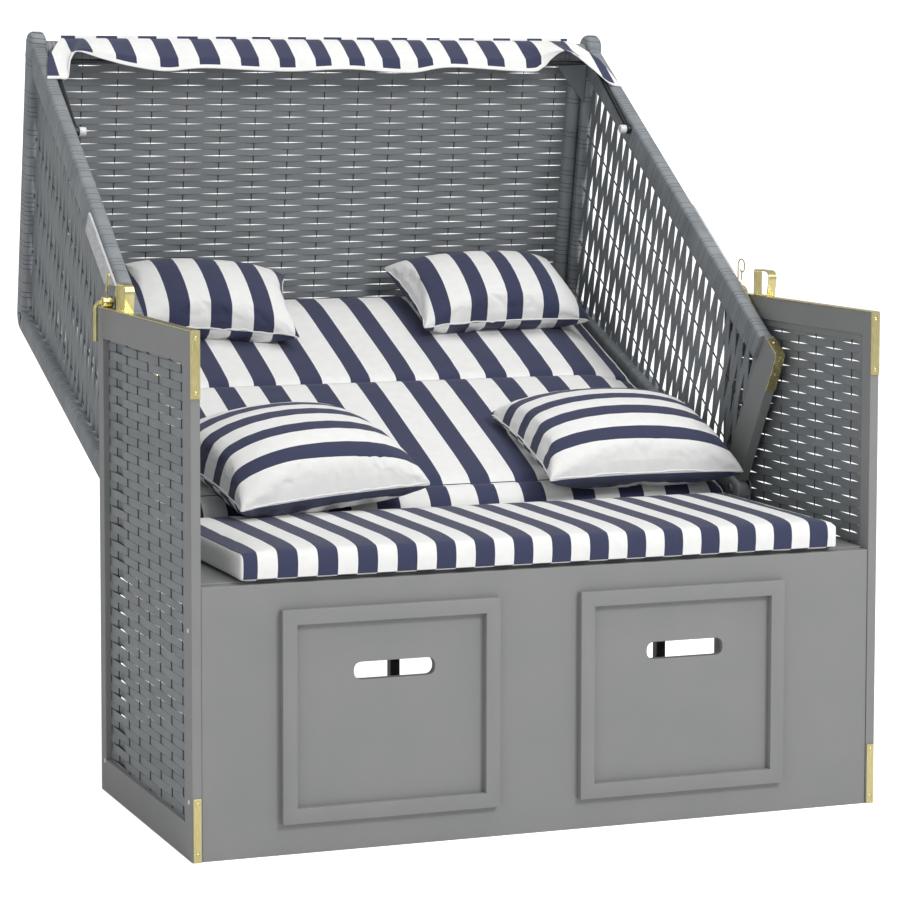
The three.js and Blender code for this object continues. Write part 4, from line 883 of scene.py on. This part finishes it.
def addCrossRails():
    for node in ("hood_top_rail", "hood_corner_rail"):
        low, high = boxOf(node)
        middle = (low + high) / 2
        mesh = roundRun(pieceName(node), (low.x, middle.y, middle.z), (high.x, middle.y, middle.z),
            (high.z - low.z) / 2, 24, 20, wrapStarts["crossRail"])
        settle(addObject(pieceName(node), mesh, wrap), "hood", node)
    radius, depth = rollValues["radius"], hood["roofDepth"] / 2
    low = onRoof(rollValues["lowEnd"], depth)
    high = onRoof((hoodCrown - hoodRear).length - rollValues["highEnd"], depth)
    rolls = []
    for sign in (-1, 1):
        x = sign * (hood["crossHalf"] - radius)
        start = wrapStarts["rollMiddle"] + wrapStarts["rollStep"] * sign
        rolls.append(roundRun(f"roll{sign}", (x, *low), (x, *high), radius, 16, 16, start))
    settle(joinMeshes("hoodRoofRolls", rolls, wrap), "hood", "hood_roof_weave")


addRails()
addCrossRails()
addSoftened("woven_cane", cane, 1.0, paired("hood_gusset"))
print("rails ready")


# Tubes that follow a path, such as piping
def makeTubeTree():
    tree, start = newGroup("tubeAlongPath", {"Radius": 0.002, "Sides": 8, "Material": None})
    curve = place(tree, "GeometryNodeMeshToCurve", {"Mesh": start["Geometry"]}).outputs[0]
    profile = place(tree, "GeometryNodeCurvePrimitiveCircle", {
        "Resolution": start["Sides"], "Radius": start["Radius"]}).outputs["Curve"]
    tube = place(tree, "GeometryNodeCurveToMesh", {
        "Curve": curve, "Profile Curve": profile, "Fill Caps": True}).outputs[0]
    smooth = place(tree, "GeometryNodeSetShadeSmooth", {"Geometry": tube}).outputs[0]
    return endGroup(tree, smooth, start["Material"])


tubeTree = makeTubeTree()


def addPiping(name, body, points, radius, closed=False):
    edges = [(i, i + 1) for i in range(len(points) - 1)] + [(len(points) - 1, 0)] * closed
    piece = addObject(name, buildMesh(name, points, [], edges))
    runGroup(piece, tubeTree, {"Radius": radius * mm, "Sides": 8, "Material": pipingCanvas})
    settle(piece, body)


def noStripes(tree, spot):
    # White everywhere: nothing on the chair stands nine metres high
    return maths(tree, "GREATER_THAN", axesOf(tree, spot)["Z"], 9.0)


pipingCanvas = makeCanvas("pipingCanvas", noStripes)


# Cushions and pillows: the solid's form, swollen by a cloth simulation; the back cushion is then creased
# along its channels, and sewn edges get piping
clothValues = {"quality": 5, "use_pressure": True, "uniform_pressure_force": 4, "tension_stiffness": 15,
    "compression_stiffness": 15}
swellFrames = 20


def moveVertices(mesh, places):
    mesh.vertices.foreach_set("co", [value for co in places for value in co])
    mesh.update()


def swell(piece, values):
    # The form is shrunk, blown up again, and held within a limit of where it started
    shrink, limit = values["shrink"], values["limit"]
    modify(piece, "REMESH", mode="VOXEL", voxel_size=values["voxel"] * mm)
    mesh = piece.data
    mesh.shade_smooth()
    starts = [v.co - v.normal * shrink * mm for v in mesh.vertices]
    moveVertices(mesh, starts)
    cloth = piece.modifiers.new("swell", "CLOTH")
    for key, value in clothValues.items():
        setattr(cloth.settings, key, value)
    cloth.settings.effector_weights.gravity = 0
    cloth.point_cache.frame_start = 1
    cloth.point_cache.frame_end = swellFrames
    scene = bpy.context.scene
    for step in range(1, swellFrames + 1):
        scene.frame_set(step)
    graph = bpy.context.evaluated_depsgraph_get()
    swollen = piece.evaluated_get(graph).to_mesh()
    places = []
    for start, vertex in zip(starts, swollen.vertices):
        move = vertex.co - start
        if move.length > limit * mm:
            move = move.normalized() * limit * mm
        places.append(start + move)
    piece.evaluated_get(graph).to_mesh_clear()
    piece.modifiers.clear()
    scene.frame_set(1)
    moveVertices(mesh, places)


def swollenCopy(node, name, values):
    piece = copyOf(node, name)
    swell(piece, values)
    modify(piece, "SUBSURF", levels=1, render_levels=1)
    piece.data.shade_smooth()
    return piece


def finishPadded(piece, node, body):
    settle(piece, body, node)
    print(piece.name, len(piece.data.polygons), "faces")


# Seat cushion: even stripes, white end faces, and the other way round below its seam
seatValues = {"voxel": 7.0, "shrink": 2.0, "limit": 3.4, "stripeStart": -1303.0, "stripePeriod": 65.5,
    "stripeWidth": 33.0, "endBand": 9.0, "seamRise": 5.0}


def seatMask(tree, spot):
    s = seatValues
    axes = axesOf(tree, spot)
    low, high = boxOf("seat_cushion")
    stripes = evenStripes(tree, axes["X"], s["stripeStart"], s["stripePeriod"], s["stripeWidth"])
    under = maths(tree, "LESS_THAN", axes["Z"], (low.z + s["seamRise"]) * mm)
    mixed = maths(tree, "ABSOLUTE", maths(tree, "SUBTRACT", stripes, under))
    inside = maths(tree, "MULTIPLY", maths(tree, "GREATER_THAN", axes["X"], (low.x + s["endBand"]) * mm),
        maths(tree, "LESS_THAN", axes["X"], (high.x - s["endBand"]) * mm))
    return maths(tree, "MULTIPLY", mixed, inside)


def addSeatCushion():
    piece = swollenCopy("seat_cushion", "seatCushion", seatValues)
    piece.data.materials.append(makeCanvas("seatCanvas", seatMask))
    finishPadded(piece, "seat_cushion", "base")


# Back cushion: stripes run up the slope, from navy edge to navy edge across
backValues = {"voxel": 10.0, "shrink": 3.0, "limit": 6.0, "cord": 1.8, "cordSteps": 90, "half": 540.0}
backNavy = [(-489, -447), (-401, -358), (-312, -270), (-224, -182), (-135, -93), (-41, -2), (47, 86),
    (135, 176), (226, 267), (315, 359), (403, 448), (492, 540)]
# Two sewn channels across it, each with a thin line of painted shade in its crease, and the nose that slopes
# down to the seat
channels = {"places": (449.0, 58.0), "width": 4.0, "depth": 5.0, "line": 0.8, "shift": 4.0,
    "underside": 18.0, "noseRun": 75.0, "noseDrop": 16.0, "noseReach": 10.0, "nosePower": 1.3,
    "noseHeight": 50.0}
backSlope = ahead((0, 0), hood["backAngle"], 1)
backSquare = ahead((0, 0), hood["backAngle"] + 90, 1)


def backMask(tree, spot):
    heel = Vector(hood["heel"]) * mm
    local = vectorMaths(tree, "SUBTRACT", spot, (0, *heel))
    along = vectorMaths(tree, "DOT_PRODUCT", local, (0, *backSlope))
    above = maths(tree, "GREATER_THAN", along, channels["places"][0] * mm)
    across = maths(tree, "MULTIPLY_ADD", above, channels["shift"] * mm, axesOf(tree, spot)["X"])
    stripes = stripeMask(tree, across, backNavy, -backValues["half"], backValues["half"])
    # A thin navy line along each channel: painted shade in the crease
    for line in channels["places"]:
        away = maths(tree, "ABSOLUTE", maths(tree, "SUBTRACT", along, line * mm))
        stripes = maths(tree, "MAXIMUM", stripes, maths(tree, "LESS_THAN", away, channels["line"] * mm))
    return stripes


def backPlace(vertex):
    # Distance up the slope from the heel, and height over it
    offset = Vector((vertex.co.y / mm, vertex.co.z / mm)) - Vector(hood["heel"])
    return offset.dot(backSlope), offset.dot(backSquare)


def pressChannels(piece):
    c = channels
    for vertex in piece.data.vertices:
        along, rise = backPlace(vertex)
        if rise < c["underside"]:
            continue
        press = sum(c["depth"] / (1 + (abs(along - line) / c["width"]) ** 2) ** 1.5 for line in c["places"])
        near = max(0.0, 1 - along / c["noseRun"])
        press += c["noseDrop"] * near ** c["nosePower"] * min(1.0, rise / c["noseHeight"])
        move = backSquare * -press - backSlope * c["noseReach"] * near
        vertex.co.y += move.x * mm
        vertex.co.z += move.y * mm
    piece.data.update()


def edgeLine(piece, sign):
    # The sewn edge along one side: the outermost vertex of each stretch of the slope
    found = {}
    for vertex in piece.data.vertices:
        along, rise = backPlace(vertex)
        k = int(along / hood["backLength"] * backValues["cordSteps"])
        reach = vertex.co.x / mm * sign + rise
        if k not in found or reach > found[k][0]:
            found[k] = (reach, vertex.co / mm)
    line = [found[k][1] for k in sorted(found)]
    for turn in range(3):
        middle = [(a + b * 2 + c) / 4 for a, b, c in zip(line, line[1:], line[2:])]
        line = [line[0], *middle, line[-1]]
    return line


def addBackCushion():
    piece = swollenCopy("back_cushion", "backCushion", backValues)
    pressChannels(piece)
    piece.data.materials.append(makeCanvas("backCanvas", backMask))
    for side, sign in sides:
        addPiping(f"backPiping{side}", "hood", edgeLine(piece, sign), backValues["cord"])
    finishPadded(piece, "back_cushion", "hood")


# Pillows: node, body, centre, tilt and spin of each as in the solid model, and its navy stripes. Stripes
# lie across the direction "run" (shares of the pillow's width and depth axes), measured from its centre
pillows = {
    "lumbarLeft": {"node": "lumbar_pillow_left", "body": "lumbar_pillow_left",
        "centre": (-276.0, 457.5, 546.4), "tilt": 14.0, "spin": 12.0, "run": (0.05, 1.0),
        "navy": [(-128, -100), (-65, -40), (-7, 22), (50, 78), (106, 134)]},
    "lumbarRight": {"node": "lumbar_pillow_right", "body": "lumbar_pillow_right",
        "centre": (340.0, 495.5, 557.6), "tilt": 16.5, "spin": 0.0, "run": (0.03, 1.0),
        "navy": [(-117, -88), (-50, -20), (13, 40), (74, 101), (134, 160)]},
    "neckLeft": {"node": "neck_pillow_left", "body": "hood",
        "centre": (-252.0, 1039.4, 787.4), "tilt": 26.2, "spin": -9.0, "run": (1.0, 0.13),
        "navy": [(-174, -136), (-96, -57), (-18, 21), (61, 99), (139, 178)]},
    "neckRight": {"node": "neck_pillow_right", "body": "hood",
        "centre": (312.0, 1045.0, 789.5), "tilt": 26.7, "spin": 2.0, "run": (1.0, -0.06),
        "navy": [(-144, -112), (-69, -35), (5, 39), (80, 113), (155, 190)]},
}
pillowValues = {"voxel": 5.0, "shrink": 3.0, "limit": 9.0, "cord": 1.5, "seamSteps": 220, "seamBand": 7.0,
    "half": 200.0}


def pillowAxes(pillow):
    tilt = Matrix.Rotation(radians(pillow["tilt"]), 3, "X")
    turn = tilt @ Matrix.Rotation(radians(pillow["spin"]), 3, "Z")
    return turn.col[0], turn.col[1], turn.col[2]


def pillowMask(pillow):
    width, depth, up = pillowAxes(pillow)
    centre = Vector(pillow["centre"]) * mm
    run = width * pillow["run"][0] + depth * pillow["run"][1]

    def mask(tree, spot):
        local = vectorMaths(tree, "SUBTRACT", spot, tuple(centre))
        along = vectorMaths(tree, "DOT_PRODUCT", local, tuple(run))
        height = vectorMaths(tree, "DOT_PRODUCT", local, tuple(up))
        # White and navy change places on the underside
        top = stripeMask(tree, along, pillow["navy"], -pillowValues["half"], pillowValues["half"])
        under = maths(tree, "LESS_THAN", height, 0.0)
        return maths(tree, "ABSOLUTE", maths(tree, "SUBTRACT", top, under))
    return mask


def seamRing(piece, pillow):
    # A sewn edge round the pillow, on its widest line
    width, depth, up = pillowAxes(pillow)
    centre = Vector(pillow["centre"]) * mm
    steps = pillowValues["seamSteps"]
    found = {}
    for vertex in piece.data.vertices:
        local = vertex.co - centre
        if abs(local.dot(up)) > pillowValues["seamBand"] * mm:
            continue
        x, y = local.dot(width), local.dot(depth)
        k = int((atan2(y, x) / (2 * pi) + 0.5) * steps) % steps
        reach = hypot(x, y)
        if k not in found or reach > found[k][0]:
            found[k] = (reach, vertex.co.copy())
    ring = [found[k][1] for k in sorted(found)]
    for turn in range(2):
        ring = [(ring[i - 1] + ring[i] * 2 + ring[(i + 1) % len(ring)]) / 4 for i in range(len(ring))]
    return [point / mm for point in ring]


def addPillow(name, pillow):
    piece = swollenCopy(pillow["node"], name + "Pillow", pillowValues)
    piece.data.materials.append(makeCanvas(name + "Canvas", pillowMask(pillow)))
    addPiping(name + "Seam", pillow["body"], seamRing(piece, pillow), pillowValues["cord"], closed=True)
    finishPadded(piece, pillow["node"], pillow["body"])


addSeatCushion()
addBackCushion()
for pillowName, pillowRow in pillows.items():
    addPillow(pillowName, pillowRow)
print("cushions ready")


# Awning: one sheet from the top rail over the bow's bar to a wavy hem, with a flap over each rail.
# Along the front rail the bar lies at barAlong; rises are over the rail's outer line. In the cloth's map
# the band along the rear edge stands above bandFrom.
awning = {"barAlong": 864.0, "rearAhead": 81.0, "rearRise": 2.0, "rearHalf": 508.0, "barHalf": 548.0,
    "hemHalf": 563.0, "thickness": 2.0, "barRise": 6.0, "columns": 300, "rows": 26, "hemBand": 7.5,
    "bandRun": 4.6, "bandDrop": 4.2, "bandFrom": 0.25, "arch": 4.0, "archPower": 0.6, "maskHalf": 570.0}
# The hem from left to right: place across, drop down the rail from the bar, rise, height over the bar
awningHem = [
    (-563, 62, 1.8, 0), (-540, 62, 1.8, 0), (-524, 60, 2.2, 4), (-517, 28, 12, 12), (-500, 3, 22, 18),
    (-448, 8, 9, 10), (-393, 14, -3, 2), (-327, 19, -10, 0), (-253, 16, -5, 0), (-96, 19, -10, 0),
    (28, 17, -6, 0), (149, 20, -12, 0), (238, 14, -3, 0), (392, 18, -10, 0), (425, 14, -4, 4),
    (444, 5, 12, 13), (466, -1, 25, 21), (490, 2, 21, 19), (522, 30, 5, 6), (542, 78, 2.4, 0),
    (563, 86, 1.8, 0),
]


def curveAt(rows, share):
    # A smooth curve through the rows, uniform Catmull-Rom
    position = share * (len(rows) - 1)
    i = min(int(position), len(rows) - 2)
    t = position - i
    before, start, end, after = (rows[max(0, min(k, len(rows) - 1))] for k in (i - 1, i, i + 1, i + 2))
    return [0.5 * (2 * b + (c - a) * t + (2 * a - 5 * b + 4 * c - d) * t * t
        + (3 * b - a - 3 * c + d) * t ** 3) for a, b, c, d in zip(before, start, end, after)]


# Navy stripes of the cloth and of the band sewn along its rear edge, as places across
awningNavy = [(-563, -540), (-505, -468), (-427, -385), (-341, -306), (-265, -226), (-187, -150),
    (-110, -76), (-40, -8), (28, 60), (97, 130), (167, 198), (234, 270), (311, 347), (389, 423),
    (467, 498), (530, 548)]
bandNavy = [(-511, -483), (-443, -405), (-365, -326), (-287, -249), (-212, -172), (-139, -103),
    (-68, -34), (2, 37), (71, 103), (140, 173), (210, 238), (280, 311), (348, 384), (422, 453), (492, 510)]


def awningMask(tree, spot):
    half = awning["maskHalf"]
    axes = axesOf(tree, place(tree, "ShaderNodeUVMap", uv_map="cloth").outputs["UV"])
    stripes = stripeMask(tree, axes["X"], awningNavy, -half, half)
    band = stripeMask(tree, axes["X"], bandNavy, -half, half)
    onBand = maths(tree, "GREATER_THAN", axes["Y"], awning["bandFrom"])
    belowBand = maths(tree, "SUBTRACT", 1.0, onBand)
    aboveHem = maths(tree, "GREATER_THAN", axes["Y"], awning["hemBand"] * mm)
    main = maths(tree, "MULTIPLY", maths(tree, "MULTIPLY", stripes, aboveHem), belowBand)
    return maths(tree, "ADD", main, maths(tree, "MULTIPLY", band, onBand))


def awningColumn(share):
    # From the rear edge to the hem; the edge stands up as a sewn band, and the cloth arches to the bar
    a, rows = awning, awning["rows"]
    hemX, drop, rise, lift = curveAt(awningHem, share)
    side = hemX / a["hemHalf"]
    rear = (side * a["rearHalf"], a["barAlong"] + a["rearAhead"], a["rearRise"])
    fold = (rear[0], rear[1] - a["bandRun"], rear[2] - a["bandDrop"])
    bar = (side * a["barHalf"], a["barAlong"], a["barRise"] + max(lift, 0))
    hem = (hemX, a["barAlong"] - drop, rise)
    column = [rear, fold]
    upper = rows // 2
    for first, last, steps, arch in ((fold, bar, upper, a["arch"]), (bar, hem, rows - 1 - upper, 0.0)):
        for k in range(1, steps + 1):
            x, distance, height = [p + (q - p) * k / steps for p, q in zip(first, last)]
            column.append((x, distance, height + arch * sin(pi * (k / steps) ** a["archPower"])))
    return column


def addAwning():
    columns, rows = awning["columns"], awning["rows"]
    points = []
    cloth = []
    for i in range(columns + 1):
        column = awningColumn(i / columns)
        lengths = [0.0]
        for a, b in zip(column, column[1:]):
            lengths.append(lengths[-1] + sqrt(sum((p - q) ** 2 for p, q in zip(a, b))))
        for (x, distance, height), length in zip(column, lengths):
            points.append((x, *onFront(distance, height)))
            cloth.append((x * mm, (lengths[-1] - length) * mm + (1.0 if length == 0 else 0.0)))
    mesh = buildMesh("awningCloth", points, quads(columns + 1, rows + 1, roundRing=False))
    layer = mesh.uv_layers.new(name="cloth")
    for loop in mesh.loops:
        layer.data[loop.index].uv = cloth[loop.vertex_index]
    piece = addObject("awningCloth", mesh, makeCanvas("awningCanvas", awningMask))
    modify(piece, "SOLIDIFY", thickness=awning["thickness"] * mm, offset=0)
    piece.data.shade_smooth()
    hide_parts("awning_cloth")
    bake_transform(piece)


addAwning()
print("awning ready")


# Footrest mouldings: a mitred flat band on each front board, its profile in (inward, forward) steps
mouldingProfile = [(0, 0), (0, 11.0), (0.3, 11.7), (1.0, 12), (23.0, 12), (23.7, 11.7), (24, 11.0), (24, 0)]


def addMoulding(node):
    low, high = boxOf(node)
    points = []
    for inward, forward in mouldingProfile:
        for x, z in ((low.x + inward, low.z + inward), (high.x - inward, low.z + inward),
                (high.x - inward, high.z - inward), (low.x + inward, high.z - inward)):
            points.append((x, high.y - forward, z))
    mesh = buildMesh(pieceName(node), points, quads(len(mouldingProfile), 4, roundRows=True))
    faceOutward(mesh)
    smoothen(mesh, 30)
    settle(addObject(pieceName(node), mesh, paint), bodyOf(node), node)


for mouldingNode in paired("footrest_moulding"):
    addMoulding(mouldingNode)


# Screws: Geometry Nodes set a domed head with a socket on every point of a guide mesh. The numbers say
# where each head sits from the top or bottom of its plate, and the white ones' (y, z) on the wall boards
screwValues = {"dome": 0.42, "socket": 0.42, "socketDepth": 0.75, "fittingBelowTop": (10.0, 94.0),
    "plateAboveFoot": 12.0, "plateBelowTop": 9.0, "white": [(516.0, 53.0), (8.0, 92.0), (8.0, 359.0)]}
screwGroups = {
    "brassScrews": {"material": brass, "slot": "brass", "body": "base", "radius": 3.4},
    "whiteScrews": {"material": palePlastic, "slot": "pale_plastic", "body": "base", "radius": 4.0},
    "strapScrews": {"material": brass, "slot": "brass", "body": "hood", "radius": 3.0},
}
# On the cheek straps: y, z and the way each head faces in the side view
strapScrews = [(310.0, 746.0, (-0.554, 0.833)), (288.7, 715.8, (-0.865, -0.501)),
    (303.0, 691.2, (-0.865, -0.501))]


def makeScrewTree():
    tree, start = newGroup("screwHeads", {"Radius": 0.003, "Dome": 0.4, "Material": None})
    ball = place(tree, "GeometryNodeMeshUVSphere", {
        "Segments": 16, "Rings": 14, "Radius": start["Radius"]}).outputs["Mesh"]
    axes = axesOf(tree, tree.nodes.new("GeometryNodeInputPosition").outputs[0])
    flat = {"X": axes["X"], "Y": axes["Y"]}
    reach = vectorMaths(tree, "LENGTH", place(tree, "ShaderNodeCombineXYZ", flat).outputs[0])
    edge = maths(tree, "MULTIPLY", start["Radius"], screwValues["socket"])
    depth = maths(tree, "MULTIPLY", start["Radius"], screwValues["socketDepth"])
    sink = maths(tree, "MULTIPLY", maths(tree, "LESS_THAN", reach, edge), depth)
    height = maths(tree, "MULTIPLY", maths(tree, "SUBTRACT", axes["Z"], sink), start["Dome"])
    squashed = place(tree, "ShaderNodeCombineXYZ", {**flat, "Z": height}).outputs[0]
    head = place(tree, "GeometryNodeSetPosition", {"Geometry": ball, "Position": squashed}).outputs[0]
    facing = place(tree, "GeometryNodeInputNamedAttribute", {"Name": "facing"},
        data_type="FLOAT_VECTOR").outputs["Attribute"]
    turn = place(tree, "FunctionNodeAlignRotationToVector", {"Vector": facing}, axis="Z").outputs[0]
    heads = place(tree, "GeometryNodeInstanceOnPoints", {"Points": start["Geometry"],
        "Instance": head, "Rotation": turn}).outputs[0]
    return endGroup(tree, heads, start["Material"])


def screwPlaces():
    # Each group's screws as a place and the way the head faces
    s = screwValues
    places = {name: [] for name in screwGroups}
    for side, sign in sides:
        here = side.lower()
        low, high = boxOf(f"wall_frame_{here}")
        middle = (low.x + high.x) / 2
        outer = low.x if sign < 0 else high.x
        fitting = boxOf(f"wall_fitting_{here}")[0]
        foot, top = boxOf(f"foot_plate_{here}")
        for drop in s["fittingBelowTop"]:
            places["brassScrews"].append(((middle, fitting.y, high.z - drop), (0, -1, 0)))
        for z in (foot.z + s["plateAboveFoot"], top.z - s["plateBelowTop"]):
            places["brassScrews"].append(((middle, foot.y, z), (0, -1, 0)))
        for y, z in s["white"]:
            places["whiteScrews"].append(((outer, y, z), (sign, 0, 0)))
        strapX = middleOf(f"cheek_strap_{here}").x
        for y, z, facing in strapScrews:
            places["strapScrews"].append(((strapX, y, z), (0, *facing)))
    return places


def addScrews():
    tree = makeScrewTree()
    for name, rows in screwPlaces().items():
        group = screwGroups[name]
        mesh = buildMesh(name, [row[0] for row in rows], [])
        facing = mesh.attributes.new("facing", "FLOAT_VECTOR", "POINT").data
        facing.foreach_set("vector", [value for row in rows for value in row[1]])
        piece = runGroup(addObject(name, mesh), tree, {"Radius": group["radius"] * mm,
            "Dome": screwValues["dome"], "Material": group["material"]})
        piece.data.shade_smooth()
        settle(piece, group["body"])


addScrews()
print("screws ready")


# Stage, light and camera
stageValues = {"floorHalf": 9000.0, "flatShare": 0.7, "low": 0.9, "high": 0.92, "lift": 0.75, "world": 0.5,
    "worldSeen": 1.1}
# Lamps: place, target, size and power
lamps = {
    "frontKey": ((1.8, -4.3, 3.8), (0, 0.3, 0.5), 1.3, 142),
    "topSoft": ((0.3, -0.4, 4.6), (0, 0.4, 0.6), 3.0, 50),
    "leftFill": ((-4.0, -3.5, 2.2), (0, 0.5, 0.6), 2.5, 16),
}
cameraValues = {"place": (-1.915, -4.573, 1.197), "down": 4.70, "roll": -0.06, "turn": -20.61,
    "lens": 125.4, "shift": (0.0206, -0.1218)}


def seenDirectly(tree):
    # 1 where the camera looks straight at it or through glass, else 0
    path = place(tree, "ShaderNodeLightPath").outputs
    return maths(tree, "MAXIMUM", path["Is Camera Ray"], path["Is Transmission Ray"])


def makeStageMaterial():
    material, tree, shader = newMaterial("stage", Roughness=0.9)
    low, high = ((stageValues[key],) * 3 + (1,) for key in ("low", "high"))
    shade = ramp(tree, noiseOn(tree, placeOn(tree), 0.4, 1), [(0.0, low), (1.0, high)])
    tree.links.new(shade, shader.inputs["Base Color"])
    # Seen directly the floor is lifted to white, and its shadows stay
    shader.inputs["Emission Color"].default_value = (1, 1, 1, 1)
    lift = maths(tree, "MULTIPLY", seenDirectly(tree), stageValues["lift"])
    tree.links.new(lift, shader.inputs["Emission Strength"])
    return material


def addStage():
    # A floor that curves up into a backdrop far behind
    half = stageValues["floorHalf"]
    start = half * stageValues["flatShare"]
    radius = half - start
    profile = [(-half, 0), (start, 0)]
    for i in range(1, 13):
        turn = i / 12 * pi / 2
        profile.append((start + sin(turn) * radius, (1 - cos(turn)) * radius))
    profile.append((half, half))
    points = [(x, y, z) for y, z in profile for x in (-half, half)]
    mesh = buildMesh("stage", points, quads(len(profile), 2, roundRing=False))
    mesh.shade_smooth()
    addObject("stage", mesh, makeStageMaterial())


def addLamp(name, spot, target, size, power):
    lamp = bpy.data.lights.new(name, "AREA")
    lamp.shape = "DISK"
    lamp.size = size
    lamp.energy = power
    holder = bpy.data.objects.new(name, lamp)
    holder.location = spot
    holder.rotation_euler = (Vector(target) - Vector(spot)).to_track_quat("-Z", "Y").to_euler()
    bpy.context.scene.collection.objects.link(holder)


def addLight():
    world = bpy.data.worlds.new("studio")
    bpy.context.scene.world = world
    world.use_nodes = True
    tree = world.node_tree
    back = tree.nodes["Background"]
    back.inputs["Color"].default_value = (1, 1, 1, 1)
    plain, seen = stageValues["world"], stageValues["worldSeen"]
    strength = maths(tree, "MULTIPLY_ADD", seenDirectly(tree), seen - plain, plain)
    tree.links.new(strength, back.inputs["Strength"])
    for name, row in lamps.items():
        addLamp(name, *row)


def addCamera():
    camera = bpy.data.cameras.new("camera")
    camera.lens = cameraValues["lens"]
    camera.sensor_width = 36
    camera.shift_x, camera.shift_y = cameraValues["shift"]
    camera.clip_end = 60
    holder = bpy.data.objects.new("camera", camera)
    holder.location = cameraValues["place"]
    holder.rotation_mode = "XYZ"
    holder.rotation_euler = (radians(90 - cameraValues["down"]), radians(cameraValues["roll"]),
        radians(cameraValues["turn"]))
    bpy.context.scene.collection.objects.link(holder)
    bpy.context.scene.camera = holder


addStage()
addLight()
addCamera()
bpy.context.scene.view_settings.view_transform = "Standard"
